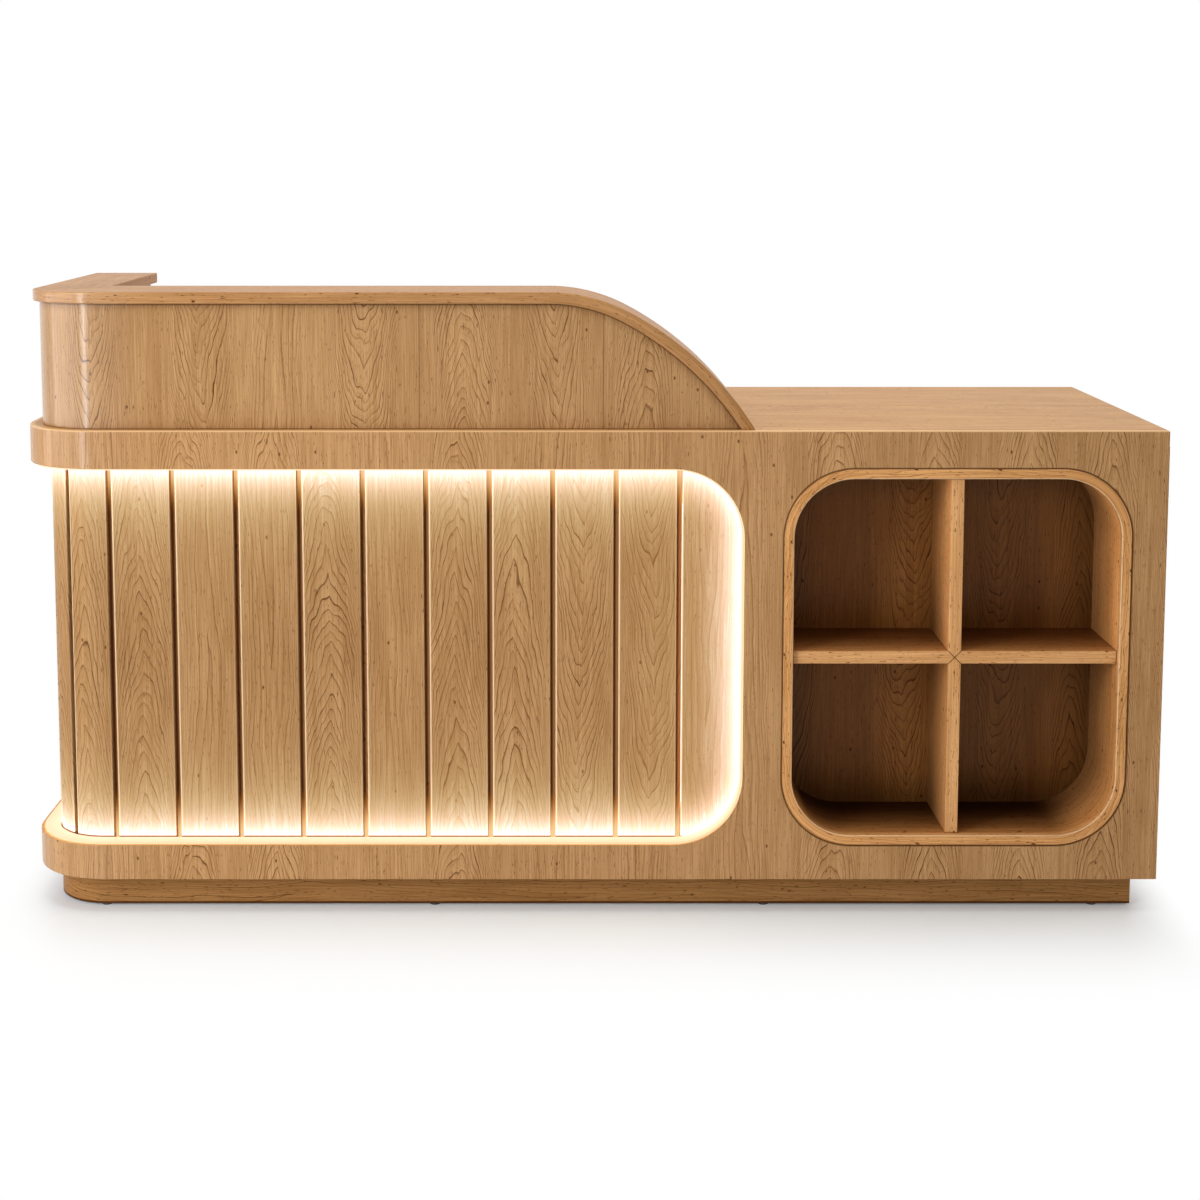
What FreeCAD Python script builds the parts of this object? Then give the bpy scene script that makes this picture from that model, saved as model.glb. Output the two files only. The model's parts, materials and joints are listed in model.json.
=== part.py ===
import FreeCAD, Part
import math
import os

import Sketcher

# Reception desk with a raised counter, a slatted and lit front and a display niche.
# Millimetres. The origin is on the floor under the middle of the desk, +X points to the visitor's
# right, +Y from the visitor's front to the staff side, +Z up.

DIMENSIONS = {
    # overall
    "desk_length": 1800,
    "desk_depth": 600,
    "worktop_height": 775,
    "counter_height": 990,
    "corner_radius": 120,
    # boards
    "worktop_thickness": 25,
    "board_thickness": 18,
    "thin_board": 12,
    # plinth and base
    "base_height": 55,
    "plinth_inset": 32,
    "glide_height": 3,
    "glide_radius": 8,
    "glide_end_distance": 60,
    "base_ledge": 88,
    # fascia round the slats and the niche
    "fascia_thickness": 32,
    "top_band": 60,
    "bottom_band": 56,
    "opening_radius": 110,
    "stile_width": 62,
    "rear_stile_width": 60,
    # slats
    "slat_count": 10,
    "corner_slat_lead": 20,
    "slat_groove": 8,
    "slat_thickness": 14,
    "slat_lap": 20,
    "slat_room": 4,
    "corner_groove_turn": 34,
    "side_groove_lead": 60,
    # light strip on the edge of the slatted opening
    "strip_thickness": 3,
    "strip_front_margin": 6,
    "strip_back_margin": 2,
    "driver_length": 150,
    "driver_depth": 30,
    "driver_height": 30,
    "driver_drop": 28,
    "driver_end_distance": 30,
    "gland_length": 16,
    "gland_radius": 7,
    "gland_bore_radius": 3.5,
    # niche
    "niche_width": 544,
    "niche_right_margin": 54,
    "niche_radius": 110,
    "niche_depth": 166,
    "niche_joint_gap": 0.8,
    "liner_thickness": 16,
    "niche_board": 20,
    "niche_board_setback": 10,
    # raised counter
    "counter_setback": 20,
    "counter_overhang": 10,
    "counter_top_thickness": 18,
    "counter_depth": 163,
    "return_width": 110,
    "return_end_distance": 62,
    "sweep_foot_distance": 665,
    "sweep_upper_radius": 250,
    "sweep_lower_radius": 500,
    "sweep_upper_turn": 28,
    # drawer and its telescopic runners
    "drawer_zone": 129,
    "front_gap": 3,
    "drawer_side": 12,
    "drawer_floor": 8,
    "drawer_box_height": 80,
    "drawer_box_lift": 19,
    "drawer_rear_room": 24,
    "pull_width": 100,
    "pull_depth": 25,
    "runner_room": 13,
    "runner_rear_room": 14,
    "runner_front_distance": 30,
    "runner_height": 45,
    "runner_wall": 1.2,
    "runner_clearance": 0.4,
    "runner_outer_depth": 8,
    "runner_middle_offset": 4,
    "runner_middle_depth": 6,
    "runner_inner_depth": 6.5,
    # doors, pivots and shelf behind them
    "door_pull_radius": 25,
    "door_pull_drop": 80,
    "pivot_edge_distance": 15,
    "pivot_radius": 4,
    "pivot_clearance": 0.1,
    "pivot_pin_length": 14,
    "pivot_plate_thickness": 2,
    "pivot_plate_length": 26,
    "pivot_plate_width": 14,
    "shelf_lift": 257,
    "shelf_side_gap": 1,
    "shelf_front_setback": 40,
    "shelf_pin_radius": 2.5,
    "shelf_pin_seat": 8,
    "shelf_pin_reach": 8,
    "shelf_pin_end_distance": 60,
    # light switch on the knee side of the cabinet
    "switch_rear_distance": 70,
    "switch_drop": 60,
    "switch_bezel_radius": 15,
    "switch_bezel_thickness": 2,
    "switch_barrel_radius": 12,
    "switch_barrel_length": 16,
    "switch_window_width": 10.8,
    "rocker_width": 10,
    "rocker_radius": 9,
    "rocker_clearance": 0.6,
    "rocker_depth": 5.5,
    "rocker_face": 6.5,
    "rocker_hollow": 0.6,
    "rocker_tilt": 12,
}

doc = FreeCAD.newDocument("reception_desk")
sheet = doc.addObject("Spreadsheet::Sheet", "Dims")
for row, (alias, number) in enumerate(DIMENSIONS.items(), start=1):
    sheet.set(f"A{row}", alias)
    sheet.set(f"B{row}", str(number))
    sheet.setAlias(f"B{row}", alias)
doc.recompute()


class Size:
    """A number together with the sheet expression that it comes from."""

    def __init__(self, value, text):
        self.value = value
        self.text = text

    def __add__(self, other):
        other = as_size(other)
        return Size(self.value + other.value, f"({self.text} + {other.text})")

    def __sub__(self, other):
        other = as_size(other)
        return Size(self.value - other.value, f"({self.text} - {other.text})")

    def __mul__(self, other):
        other = as_size(other)
        return Size(self.value * other.value, f"({self.text} * {other.text})")

    def __truediv__(self, other):
        other = as_size(other)
        return Size(self.value / other.value, f"({self.text} / {other.text})")

    def __radd__(self, other):
        return as_size(other) + self

    def __rsub__(self, other):
        return as_size(other) - self

    def __rmul__(self, other):
        return as_size(other) * self

    def __neg__(self):
        return as_size(0) - self


def as_size(number):
    if isinstance(number, Size):
        return number
    return Size(float(number), repr(float(number)))


def sine(degrees):
    return Size(math.sin(math.radians(degrees.value)), f"sin({degrees.text})")


def cosine(degrees):
    return Size(math.cos(math.radians(degrees.value)), f"cos({degrees.text})")


def root(size):
    return Size(math.sqrt(size.value), f"sqrt({size.text})")


class Named:
    """Every driving dimension of the sheet as a Size, read as an attribute."""

    def __getattr__(self, alias):
        return Size(float(sheet.get(alias)), f"Dims.{alias}")


dim = Named()
ORIGIN = (as_size(0), as_size(0), as_size(0))
parts = []


def as_part(item, label):
    """Takes an object into the list of sub-parts under its own label."""
    item.Label = label
    parts.append(item)
    return item


def place(item, position):
    """Binds an object's position to the sheet."""
    for axis, size in zip("xyz", position):
        item.setExpression(f"Placement.Base.{axis}", as_size(size).text)


def block(name, x, y, z):
    """A box between the low and high value of each axis."""
    box = doc.addObject("Part::Box", name)
    for side, (low, high) in zip(("Length", "Width", "Height"), (x, y, z)):
        box.setExpression(side, (as_size(high) - as_size(low)).text)
    place(box, (x[0], y[0], z[0]))
    return box


def rod(name, start, direction, radius, length):
    """A cylinder from a point, along the x or the z axis."""
    cylinder = doc.addObject("Part::Cylinder", name)
    cylinder.setExpression("Radius", as_size(radius).text)
    cylinder.setExpression("Height", as_size(length).text)
    if direction == "x":
        cylinder.Placement.Rotation = FreeCAD.Rotation(FreeCAD.Vector(0, 1, 0), 90)
    place(cylinder, start)
    return cylinder


def cut(name, base, tools):
    """An object with one or more others taken out of it."""
    tool = tools[0]
    if len(tools) > 1:
        tool = group(f"{name}_tools", tools)
    result = doc.addObject("Part::Cut", name)
    result.Base = base
    result.Tool = tool
    return result


def fuse(name, base, tool):
    result = doc.addObject("Part::Fuse", name)
    result.Base = base
    result.Tool = tool
    return result


def group(name, items):
    """Several separate solids held in one object."""
    result = doc.addObject("Part::Compound", name)
    result.Links = items
    return result


class Arc:
    """A round stretch of an outline: where it ends, its centre, its radius and which way it turns."""

    def __init__(self, end, centre, radius, turn):
        self.end = end
        self.centre = centre
        self.radius = as_size(radius)
        self.turn = turn


def end_of(step):
    point = step.end if isinstance(step, Arc) else step
    return tuple(as_size(number) for number in point)


def vector(point):
    return FreeCAD.Vector(point[0].value, point[1].value, 0)


def add_stretch(sketch, start, step):
    """Adds one line or arc to a sketch and gives its index and the numbers of its two ends."""
    end = end_of(step)
    if not isinstance(step, Arc):
        return sketch.addGeometry(Part.LineSegment(vector(start), vector(end)), False), 1, 2
    centre = vector([as_size(number) for number in step.centre])
    first, last = (start, end) if step.turn == "left" else (end, start)
    angles = []
    for point in (first, last):
        arm = vector(point) - centre
        angles.append(math.atan2(arm.y, arm.x))
    if angles[1] < angles[0]:
        angles[1] += 2 * math.pi
    circle = Part.Circle(centre, FreeCAD.Vector(0, 0, 1), step.radius.value)
    index = sketch.addGeometry(Part.ArcOfCircle(circle, angles[0], angles[1]), False)
    return (index, 1, 2) if step.turn == "left" else (index, 2, 1)


def draw(sketch, steps):
    """Draws a closed outline and binds its corners and radii to the sheet.

    Each step is a corner that the outline reaches in a straight line, or an Arc that ends there.
    """
    starts = [end_of(step) for step in steps[-1:] + steps[:-1]]
    stretches = [add_stretch(sketch, start, step) for start, step in zip(starts, steps)]
    bound = []
    for number, step in enumerate(steps):
        index, _, far = stretches[number]
        after, near, _ = stretches[(number + 1) % len(steps)]
        sketch.addConstraint(Sketcher.Constraint("Coincident", index, far, after, near))
        for kind, size in zip(("DistanceX", "DistanceY"), end_of(step)):
            constraint = Sketcher.Constraint(kind, -1, 1, index, far, size.value)
            bound.append((f"{kind}_{index}", constraint, size))
        if isinstance(step, Arc):
            constraint = Sketcher.Constraint("Radius", index, step.radius.value)
            bound.append((f"Radius_{index}", constraint, step.radius))
    for name, constraint, size in bound:
        sketch.renameConstraint(sketch.addConstraint(constraint), name)
        sketch.setExpression(f"Constraints.{name}", size.text)


def plate(name, plane, outlines, low, high, origin=ORIGIN):
    """A body padded from outlines on one of its planes, from low to high along the plane's normal."""
    low, high = as_size(low), as_size(high)
    body = doc.addObject("PartDesign::Body", name)
    sketch = body.newObject("Sketcher::SketchObject", f"{name}_sketch")
    support = [feature for feature in body.Origin.OriginFeatures if feature.Role == f"{plane}_Plane"]
    sketch.AttachmentSupport = [(support[0], "")]
    sketch.MapMode = "FlatFace"
    for steps in outlines:
        draw(sketch, steps)
    pad = body.newObject("PartDesign::Pad", f"{name}_pad")
    pad.Profile = sketch
    pad.setExpression("Length", (high - low).text)
    # A pad on the XZ plane grows towards -Y, so it starts from its far side.
    normal, start = {"XY": (2, low), "XZ": (1, high), "YZ": (0, low)}[plane]
    position = list(origin)
    position[normal] = position[normal] + start
    place(body, position)
    return body


def rounded_rectangle(x, z, radius):
    """The outline of a rectangle with four round corners."""
    (left_x, right_x), (low_z, high_z) = x, z
    inner_left, inner_right = left_x + radius, right_x - radius
    inner_low, inner_high = low_z + radius, high_z - radius
    return [
        (inner_right, low_z),
        Arc((right_x, inner_low), (inner_right, inner_low), radius, "left"),
        (right_x, inner_high),
        Arc((inner_right, high_z), (inner_right, inner_high), radius, "left"),
        (inner_left, high_z),
        Arc((left_x, inner_high), (inner_left, inner_high), radius, "left"),
        (left_x, inner_low),
        Arc((inner_left, low_z), (inner_left, inner_low), radius, "left"),
    ]


# Faces and levels that several pieces share

left, right = -dim.desk_length / 2, dim.desk_length / 2
front, back = -dim.desk_depth / 2, dim.desk_depth / 2
corner_x, corner_y = left + dim.corner_radius, front + dim.corner_radius

base_low = dim.base_height
base_top = base_low + dim.board_thickness
worktop_low = dim.worktop_height - dim.worktop_thickness
opening_low = base_low + dim.bottom_band
opening_high = dim.worktop_height - dim.top_band

niche_x = (right - dim.niche_right_margin - dim.niche_width, right - dim.niche_right_margin)
recess_end = niche_x[0] - dim.stile_width
side_recess_end = back - dim.rear_stile_width

slat_face = dim.fascia_thickness
slat_rear = slat_face + dim.slat_thickness
backer_rear = slat_rear + dim.thin_board

cabinet_left = recess_end + dim.slat_lap + dim.slat_room
inside_left = cabinet_left + dim.board_thickness
inside_right = right - dim.board_thickness
fascia_rear_y = front + dim.fascia_thickness
niche_back_y = front + dim.niche_depth
cabinet_front_y = niche_back_y + dim.thin_board
rail_top = worktop_low - dim.drawer_zone
rail_low = rail_top - dim.board_thickness
front_panel_y = back - dim.board_thickness


def quarter(name, outer_depth, inner_depth, low, high):
    """A quarter ring round the desk's front left corner, between two depths behind its outer face."""
    outer = dim.corner_radius - outer_depth
    inner = dim.corner_radius - inner_depth
    centre = (corner_x, corner_y)
    steps = [
        (corner_x - outer, corner_y),
        Arc((corner_x, corner_y - outer), centre, outer, "left"),
        (corner_x, corner_y - inner),
        Arc((corner_x - inner, corner_y), centre, inner, "right"),
    ]
    return plate(name, "XY", [steps], low, high)


def build_plinth():
    inset_left, inset_right = left + dim.plinth_inset, right - dim.plinth_inset
    inset_front, inset_back = front + dim.plinth_inset, back - dim.plinth_inset
    rail = dim.board_thickness
    level = (dim.glide_height, base_low)
    front_y = (inset_front, inset_front + rail)
    rear_y = (inset_back - rail, inset_back)
    left_x = (inset_left, inset_left + rail)
    right_x = (inset_right - rail, inset_right)
    cabinet_x = (cabinet_left, cabinet_left + rail)
    as_part(block("front_rail", (corner_x, inset_right), front_y, level), "plinth_front_rail")
    bend = quarter("corner_bend", dim.plinth_inset, dim.plinth_inset + rail, *level)
    as_part(bend, "plinth_corner_bend")
    as_part(block("left_rail", left_x, (corner_y, inset_back), level), "plinth_left_rail")
    as_part(block("rear_rail", (cabinet_left, inset_right), rear_y, level), "plinth_rear_rail")
    between = (front_y[1], rear_y[0])
    cross = [
        block("right_cross_rail", right_x, between, level),
        block("left_cross_rail", cabinet_x, between, level),
    ]
    as_part(group("cross_rails", cross), "plinth_cross_rails")

    # Glides under the middle of the rails, close to the ends and along the front.
    half = rail / 2
    last_x = inset_right - dim.glide_end_distance
    front_run = last_x - corner_x
    front_spots = [(corner_x + front_run * share, inset_front + half) for share in (0, 1 / 3, 2 / 3, 1)]
    rear_spots = [(x, inset_back - half) for x in (cabinet_left + dim.glide_end_distance, last_x)]
    left_spots = [(inset_left + half, y) for y in (as_size(0), inset_back - dim.glide_end_distance)]
    glides = []
    for number, (x, y) in enumerate(front_spots + rear_spots + left_spots, start=1):
        glides.append(rod(f"glide_{number}", (x, y, as_size(0)), "z", dim.glide_radius, dim.glide_height))
    as_part(group("glides", glides), "floor_glides")


def build_base():
    inner = dim.fascia_thickness
    outer_x, outer_y = left + inner, front + inner
    ledge_x, ledge_y = outer_x + dim.base_ledge, outer_y + dim.base_ledge
    radius = dim.corner_radius - inner
    steps = [
        (outer_x, corner_y),
        Arc((corner_x, outer_y), (corner_x, corner_y), radius, "left"),
        (cabinet_left, outer_y),
        (cabinet_left, ledge_y),
        (ledge_x, ledge_y),
        (ledge_x, back),
        (outer_x, back),
    ]
    as_part(plate("base_left", "XY", [steps], base_low, base_top), "base_board_left")
    span_x, span_y = (cabinet_left, inside_right), (fascia_rear_y, back)
    as_part(block("base_right", span_x, span_y, (base_low, base_top)), "base_board_right")


def open_frame(start, end, opening_end):
    """The outline of a panel cut open from its start side, with two round corners at the other end."""
    radius = dim.opening_radius
    inner_end = opening_end - radius
    return [
        (start, base_low),
        (end, base_low),
        (end, worktop_low),
        (start, worktop_low),
        (start, opening_high),
        (inner_end, opening_high),
        Arc((opening_end, opening_high - radius), (inner_end, opening_high - radius), radius, "right"),
        (opening_end, opening_low + radius),
        Arc((inner_end, opening_low), (inner_end, opening_low + radius), radius, "right"),
        (start, opening_low),
    ]


def build_fascia():
    gap = dim.niche_joint_gap
    hole_x = (niche_x[0] - gap, niche_x[1] + gap)
    hole_z = (opening_low - gap, opening_high + gap)
    hole = rounded_rectangle(hole_x, hole_z, dim.niche_radius + gap)
    outlines = [open_frame(corner_x, right, recess_end), hole]
    as_part(plate("fascia_front", "XZ", outlines, front, fascia_rear_y), "front_fascia")
    outlines = [open_frame(corner_y, back, side_recess_end)]
    as_part(plate("fascia_side", "YZ", outlines, left, left + dim.fascia_thickness), "side_fascia")
    rails = [
        quarter("corner_rail_top", as_size(0), dim.fascia_thickness, opening_high, worktop_low),
        quarter("corner_rail_bottom", as_size(0), dim.fascia_thickness, base_low, opening_low),
    ]
    as_part(group("corner_rails_group", rails), "corner_rails")


def corner_slat(name, start_turn, end_turn, lead_x=None, lead_y=None):
    """A slat on the round corner, in degrees from the front, with an optional flat run at either end."""
    outer = dim.corner_radius - slat_face
    inner = dim.corner_radius - slat_rear
    centre = (corner_x, corner_y)

    def spot(radius, turn):
        return corner_x - radius * sine(turn), corner_y - radius * cosine(turn)

    straight = as_size(0)
    right_angle = as_size(90)
    begin = straight if lead_x is not None else start_turn
    finish = right_angle if lead_y is not None else end_turn
    steps = [spot(inner, begin), Arc(spot(inner, finish), centre, inner, "right")]
    if lead_y is not None:
        steps += [(corner_x - inner, lead_y), (corner_x - outer, lead_y)]
    steps += [spot(outer, finish), Arc(spot(outer, begin), centre, outer, "left")]
    if lead_x is not None:
        steps += [(lead_x, corner_y - outer), (lead_x, corner_y - inner)]
    return plate(name, "XY", [steps], base_top, worktop_low)


def build_slats():
    half = dim.slat_groove / 2
    level = (base_top, worktop_low)
    front_y = (front + slat_face, front + slat_rear)
    count = int(dim.slat_count.value)
    pitch = (recess_end - corner_x - dim.corner_slat_lead) / dim.slat_count
    for number in range(1, count + 1):
        low_x = recess_end - pitch * number + half
        high_x = recess_end + dim.slat_lap
        if number > 1:
            high_x = recess_end - pitch * (number - 1) - half
        label = f"front_slat_{number:02d}"
        as_part(block(f"{label}_board", (low_x, high_x), front_y, level), label)

    # Slats that turn the corner and run along the left side to the rear stile.
    turn = dim.corner_groove_turn
    groove_turn = half / (dim.corner_radius - slat_face) * (180 / math.pi)
    corner_start = corner_x + dim.corner_slat_lead - half
    first_groove = corner_y + dim.side_groove_lead
    slats = [
        corner_slat("corner_slat_1", as_size(0), turn - groove_turn, lead_x=corner_start),
        corner_slat("corner_slat_2", turn + groove_turn, turn * 2 - groove_turn),
        corner_slat("corner_slat_3", turn * 2 + groove_turn, as_size(90), lead_y=first_groove - half),
    ]
    side_x = (left + slat_face, left + slat_rear)
    side_count = int((side_recess_end - first_groove).value // pitch.value) + 1
    for number in range(side_count):
        low_y = first_groove + pitch * number + half
        high_y = first_groove + pitch * (number + 1) - half
        if number == side_count - 1:
            high_y = back
        slats.append(block(f"side_slat_{number + 1}", side_x, (low_y, high_y), level))
    as_part(group("return_slats_group", slats), "return_slats")


def build_backers():
    level = (base_top, worktop_low)
    front_y = (front + slat_rear, front + backer_rear)
    side_x = (left + slat_rear, left + backer_rear)
    as_part(block("backer_front", (corner_x, cabinet_left), front_y, level), "front_backer")
    as_part(quarter("backer_corner", slat_rear, backer_rear, *level), "corner_backer")
    as_part(block("backer_side", side_x, (corner_y, back), level), "side_backer")


def open_strip(start, opening_end):
    """The outline of the light strip along the edge of an opening that is open at its start side."""
    outer = dim.opening_radius
    inner = outer - dim.strip_thickness
    turn_x = opening_end - outer
    high_z, low_z = opening_high - outer, opening_low + outer
    inner_end = opening_end - dim.strip_thickness
    inner_low, inner_high = opening_low + dim.strip_thickness, opening_high - dim.strip_thickness
    return [
        (start, inner_high),
        (turn_x, inner_high),
        Arc((inner_end, high_z), (turn_x, high_z), inner, "right"),
        (inner_end, low_z),
        Arc((turn_x, inner_low), (turn_x, low_z), inner, "right"),
        (start, inner_low),
        (start, opening_low),
        (turn_x, opening_low),
        Arc((opening_end, low_z), (turn_x, low_z), outer, "left"),
        (opening_end, high_z),
        Arc((turn_x, opening_high), (turn_x, high_z), outer, "left"),
        (start, opening_high),
    ]


def build_light():
    near, far = dim.strip_front_margin, dim.fascia_thickness - dim.strip_back_margin
    thick = dim.strip_thickness
    strips = [
        plate("strip_front", "XZ", [open_strip(corner_x, recess_end)], front + near, front + far),
        plate("strip_side", "YZ", [open_strip(corner_y, side_recess_end)], left + near, left + far),
        quarter("strip_corner_top", near, far, opening_high - thick, opening_high),
        quarter("strip_corner_bottom", near, far, opening_low, opening_low + thick),
    ]
    as_part(group("light_strips", strips), "light_strip")

    # The driver hangs on the staff side of the backer, under the worktop, with a lead gland at one end.
    driver_x = recess_end - dim.driver_end_distance
    driver_y = front + backer_rear
    driver_z = worktop_low - dim.driver_drop
    box = block(
        "driver_case",
        (driver_x - dim.driver_length, driver_x),
        (driver_y, driver_y + dim.driver_depth),
        (driver_z - dim.driver_height, driver_z),
    )
    as_part(box, "led_driver")
    middle = (
        driver_x - dim.driver_length - dim.gland_length,
        driver_y + dim.driver_depth / 2,
        driver_z - dim.driver_height / 2,
    )
    body = rod("gland_body", middle, "x", dim.gland_radius, dim.gland_length)
    bore = rod("gland_bore", middle, "x", dim.gland_bore_radius, dim.gland_length)
    as_part(cut("gland", body, [bore]), "driver_gland")


def build_niche():
    outer_z = (opening_low, opening_high)
    wall = dim.liner_thickness
    inner_x = (niche_x[0] + wall, niche_x[1] - wall)
    inner_z = (opening_low + wall, opening_high - wall)
    outlines = [
        rounded_rectangle(niche_x, outer_z, dim.niche_radius),
        rounded_rectangle(inner_x, inner_z, dim.niche_radius - wall),
    ]
    as_part(plate("liner", "XZ", outlines, front, niche_back_y), "niche_liner")

    # Four boards meet in the middle with mitred ends.
    middle_x = (niche_x[0] + niche_x[1]) / 2
    middle_z = (opening_low + opening_high) / 2
    half = dim.niche_board / 2
    (near_x, far_x), (floor, ceiling) = inner_x, inner_z
    low_x, high_x = middle_x - half, middle_x + half
    low_z, high_z = middle_z - half, middle_z + half
    point = (middle_x, middle_z)
    outlines = {
        "niche_shelf_left": [(near_x, low_z), (low_x, low_z), point, (low_x, high_z), (near_x, high_z)],
        "niche_shelf_right": [(far_x, high_z), (high_x, high_z), point, (high_x, low_z), (far_x, low_z)],
        "niche_divider_upper": [(low_x, ceiling), (low_x, high_z), point, (high_x, high_z), (high_x, ceiling)],
        "niche_divider_lower": [(high_x, floor), (high_x, low_z), point, (low_x, low_z), (low_x, floor)],
    }
    board_front = front + dim.niche_board_setback
    for label, steps in outlines.items():
        as_part(plate(f"{label}_board", "XZ", [steps], board_front, niche_back_y), label)
    back_x, back_y = (inside_left, inside_right), (niche_back_y, cabinet_front_y)
    as_part(block("back_board", back_x, back_y, (base_top, worktop_low)), "niche_back")


def shelf_pins():
    """The four pins of the cupboard shelf, each seated in a side panel."""
    length = dim.shelf_pin_seat + dim.shelf_pin_reach
    shelf_low = base_top + dim.shelf_lift
    shelf_front, shelf_rear = cabinet_front_y, front_panel_y - dim.shelf_front_setback
    pins = []
    for x in (inside_left - dim.shelf_pin_seat, inside_right - dim.shelf_pin_reach):
        for y in (shelf_front + dim.shelf_pin_end_distance, shelf_rear - dim.shelf_pin_end_distance):
            start = (x, y, shelf_low - dim.shelf_pin_radius)
            pins.append(rod(f"shelf_pin_{len(pins) + 1}", start, "x", dim.shelf_pin_radius, length))
    return pins


def build_cabinet():
    level = (base_top, worktop_low)
    pins = shelf_pins()
    barrel_start = (cabinet_left, back - dim.switch_rear_distance, worktop_low - dim.switch_drop)
    barrel_hole = rod("switch_hole", barrel_start, "x", dim.switch_barrel_radius, dim.board_thickness)
    inner_board = block("inner_board", (cabinet_left, inside_left), (fascia_rear_y, back), level)
    as_part(cut("inner_panel", inner_board, [barrel_hole] + pins[:2]), "inner_side_panel")
    right_board = block("right_board", (inside_right, right), (fascia_rear_y, back), (base_low, worktop_low))
    as_part(cut("right_panel", right_board, pins[2:]), "right_side_panel")
    rail = block("rail", (inside_left, inside_right), (cabinet_front_y, back), (rail_low, rail_top))
    as_part(rail, "cabinet_rail")
    as_part(group("shelf_pins_group", pins), "shelf_pins")
    shelf_low = base_top + dim.shelf_lift
    shelf = block(
        "shelf_board",
        (inside_left + dim.shelf_side_gap, inside_right - dim.shelf_side_gap),
        (cabinet_front_y + dim.shelf_side_gap, front_panel_y - dim.shelf_front_setback),
        (shelf_low, shelf_low + dim.board_thickness),
    )
    as_part(shelf, "cupboard_shelf")


def build_worktop():
    steps = [
        (left, corner_y),
        Arc((corner_x, front), (corner_x, corner_y), dim.corner_radius, "left"),
        (right, front),
        (right, back),
        (left, back),
    ]
    as_part(plate("worktop_board", "XY", [steps], worktop_low, dim.worktop_height), "worktop")


def build_counter():
    low, high = dim.worktop_height, dim.counter_height - dim.counter_top_thickness
    setback, overhang = dim.counter_setback, dim.counter_overhang
    edge = setback - overhang
    panel = (front + setback, front + setback + dim.board_thickness)
    inner_face_y = front + edge + dim.counter_depth - overhang
    inner_face_x = left + edge + dim.return_width - overhang
    inner_y = (inner_face_y - dim.thin_board, inner_face_y)
    inner_x = (inner_face_x - dim.thin_board, inner_face_x)
    side_x = (left + setback, left + setback + dim.board_thickness)
    return_end = back - dim.return_end_distance
    end_y = (return_end - overhang - dim.board_thickness, return_end - overhang)

    # The sweep is two tangent arcs, whose lower one meets the worktop at the foot.
    foot = right - dim.sweep_foot_distance
    turn = dim.sweep_upper_turn
    upper, lower = dim.sweep_upper_radius, dim.sweep_lower_radius
    lower_centre_z = high - upper - (lower - upper) * cosine(turn)
    drop = low - lower_centre_z
    lower_centre_x = foot - root(lower * lower - drop * drop)
    sweep_x = lower_centre_x + (lower - upper) * sine(turn)
    upper_centre, lower_centre = (sweep_x, high - upper), (lower_centre_x, lower_centre_z)

    def on_upper(extra):
        """Where the two arcs meet, this far outside the underside of the sweep."""
        return sweep_x + (upper + extra) * sine(turn), high - upper + (upper + extra) * cosine(turn)

    def on_worktop(extra):
        reach = lower + extra
        return lower_centre_x + root(reach * reach - drop * drop), low

    def profile(start_x):
        return [
            (start_x, low),
            on_worktop(0),
            Arc(on_upper(0), lower_centre, lower, "left"),
            Arc((sweep_x, high), upper_centre, upper, "left"),
            (start_x, high),
        ]

    as_part(plate("front_panel", "XZ", [profile(corner_x)], *panel), "counter_front_panel")
    as_part(plate("inner_front", "XZ", [profile(inner_x[0])], *inner_y), "counter_inner_front")
    bend = quarter("corner_panel", setback, setback + dim.board_thickness, low, high)
    as_part(bend, "counter_corner_panel")
    as_part(block("side_panel", side_x, (corner_y, end_y[1]), (low, high)), "counter_side_panel")
    as_part(block("inner_side", inner_x, (inner_y[1], end_y[0]), (low, high)), "counter_inner_side")
    as_part(block("end_panel", (side_x[1], inner_x[1]), end_y, (low, high)), "counter_end_panel")

    top_x = (left + edge, left + edge + dim.return_width)
    top_y = (front + edge, front + edge + dim.counter_depth)
    steps = [
        (top_x[0], corner_y),
        Arc((corner_x, top_y[0]), (corner_x, corner_y), dim.corner_radius - edge, "left"),
        (sweep_x, top_y[0]),
        (sweep_x, top_y[1]),
        (top_x[1], top_y[1]),
        (top_x[1], return_end),
        (top_x[0], return_end),
    ]
    as_part(plate("top_board", "XY", [steps], high, dim.counter_height), "counter_top")
    thick = dim.counter_top_thickness
    steps = [
        (sweep_x, high),
        Arc(on_upper(0), upper_centre, upper, "right"),
        Arc(on_worktop(0), lower_centre, lower, "right"),
        on_worktop(thick),
        Arc(on_upper(thick), lower_centre, lower + thick, "left"),
        Arc((sweep_x, dim.counter_height), upper_centre, upper + thick, "left"),
    ]
    as_part(plate("sweep_board", "XZ", [steps], *top_y), "counter_sweep")


def runner_channel(name, web_x, depth, half_height, towards_right, span):
    """A channel that lies along Y, with its web at web_x and its flanges to the left or the right of it."""
    wall = dim.runner_wall
    way = 1 if towards_right else -1
    middle = rail_top + dim.drawer_box_lift + dim.drawer_box_height / 2
    outer, inner = web_x, web_x + wall * way
    tip = web_x + depth * way
    low, high = middle - half_height, middle + half_height
    steps = [
        (outer, low),
        (tip, low),
        (tip, low + wall),
        (inner, low + wall),
        (inner, high - wall),
        (tip, high - wall),
        (tip, high),
        (outer, high),
    ]
    return plate(name, "XZ", [steps], *span)


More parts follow.
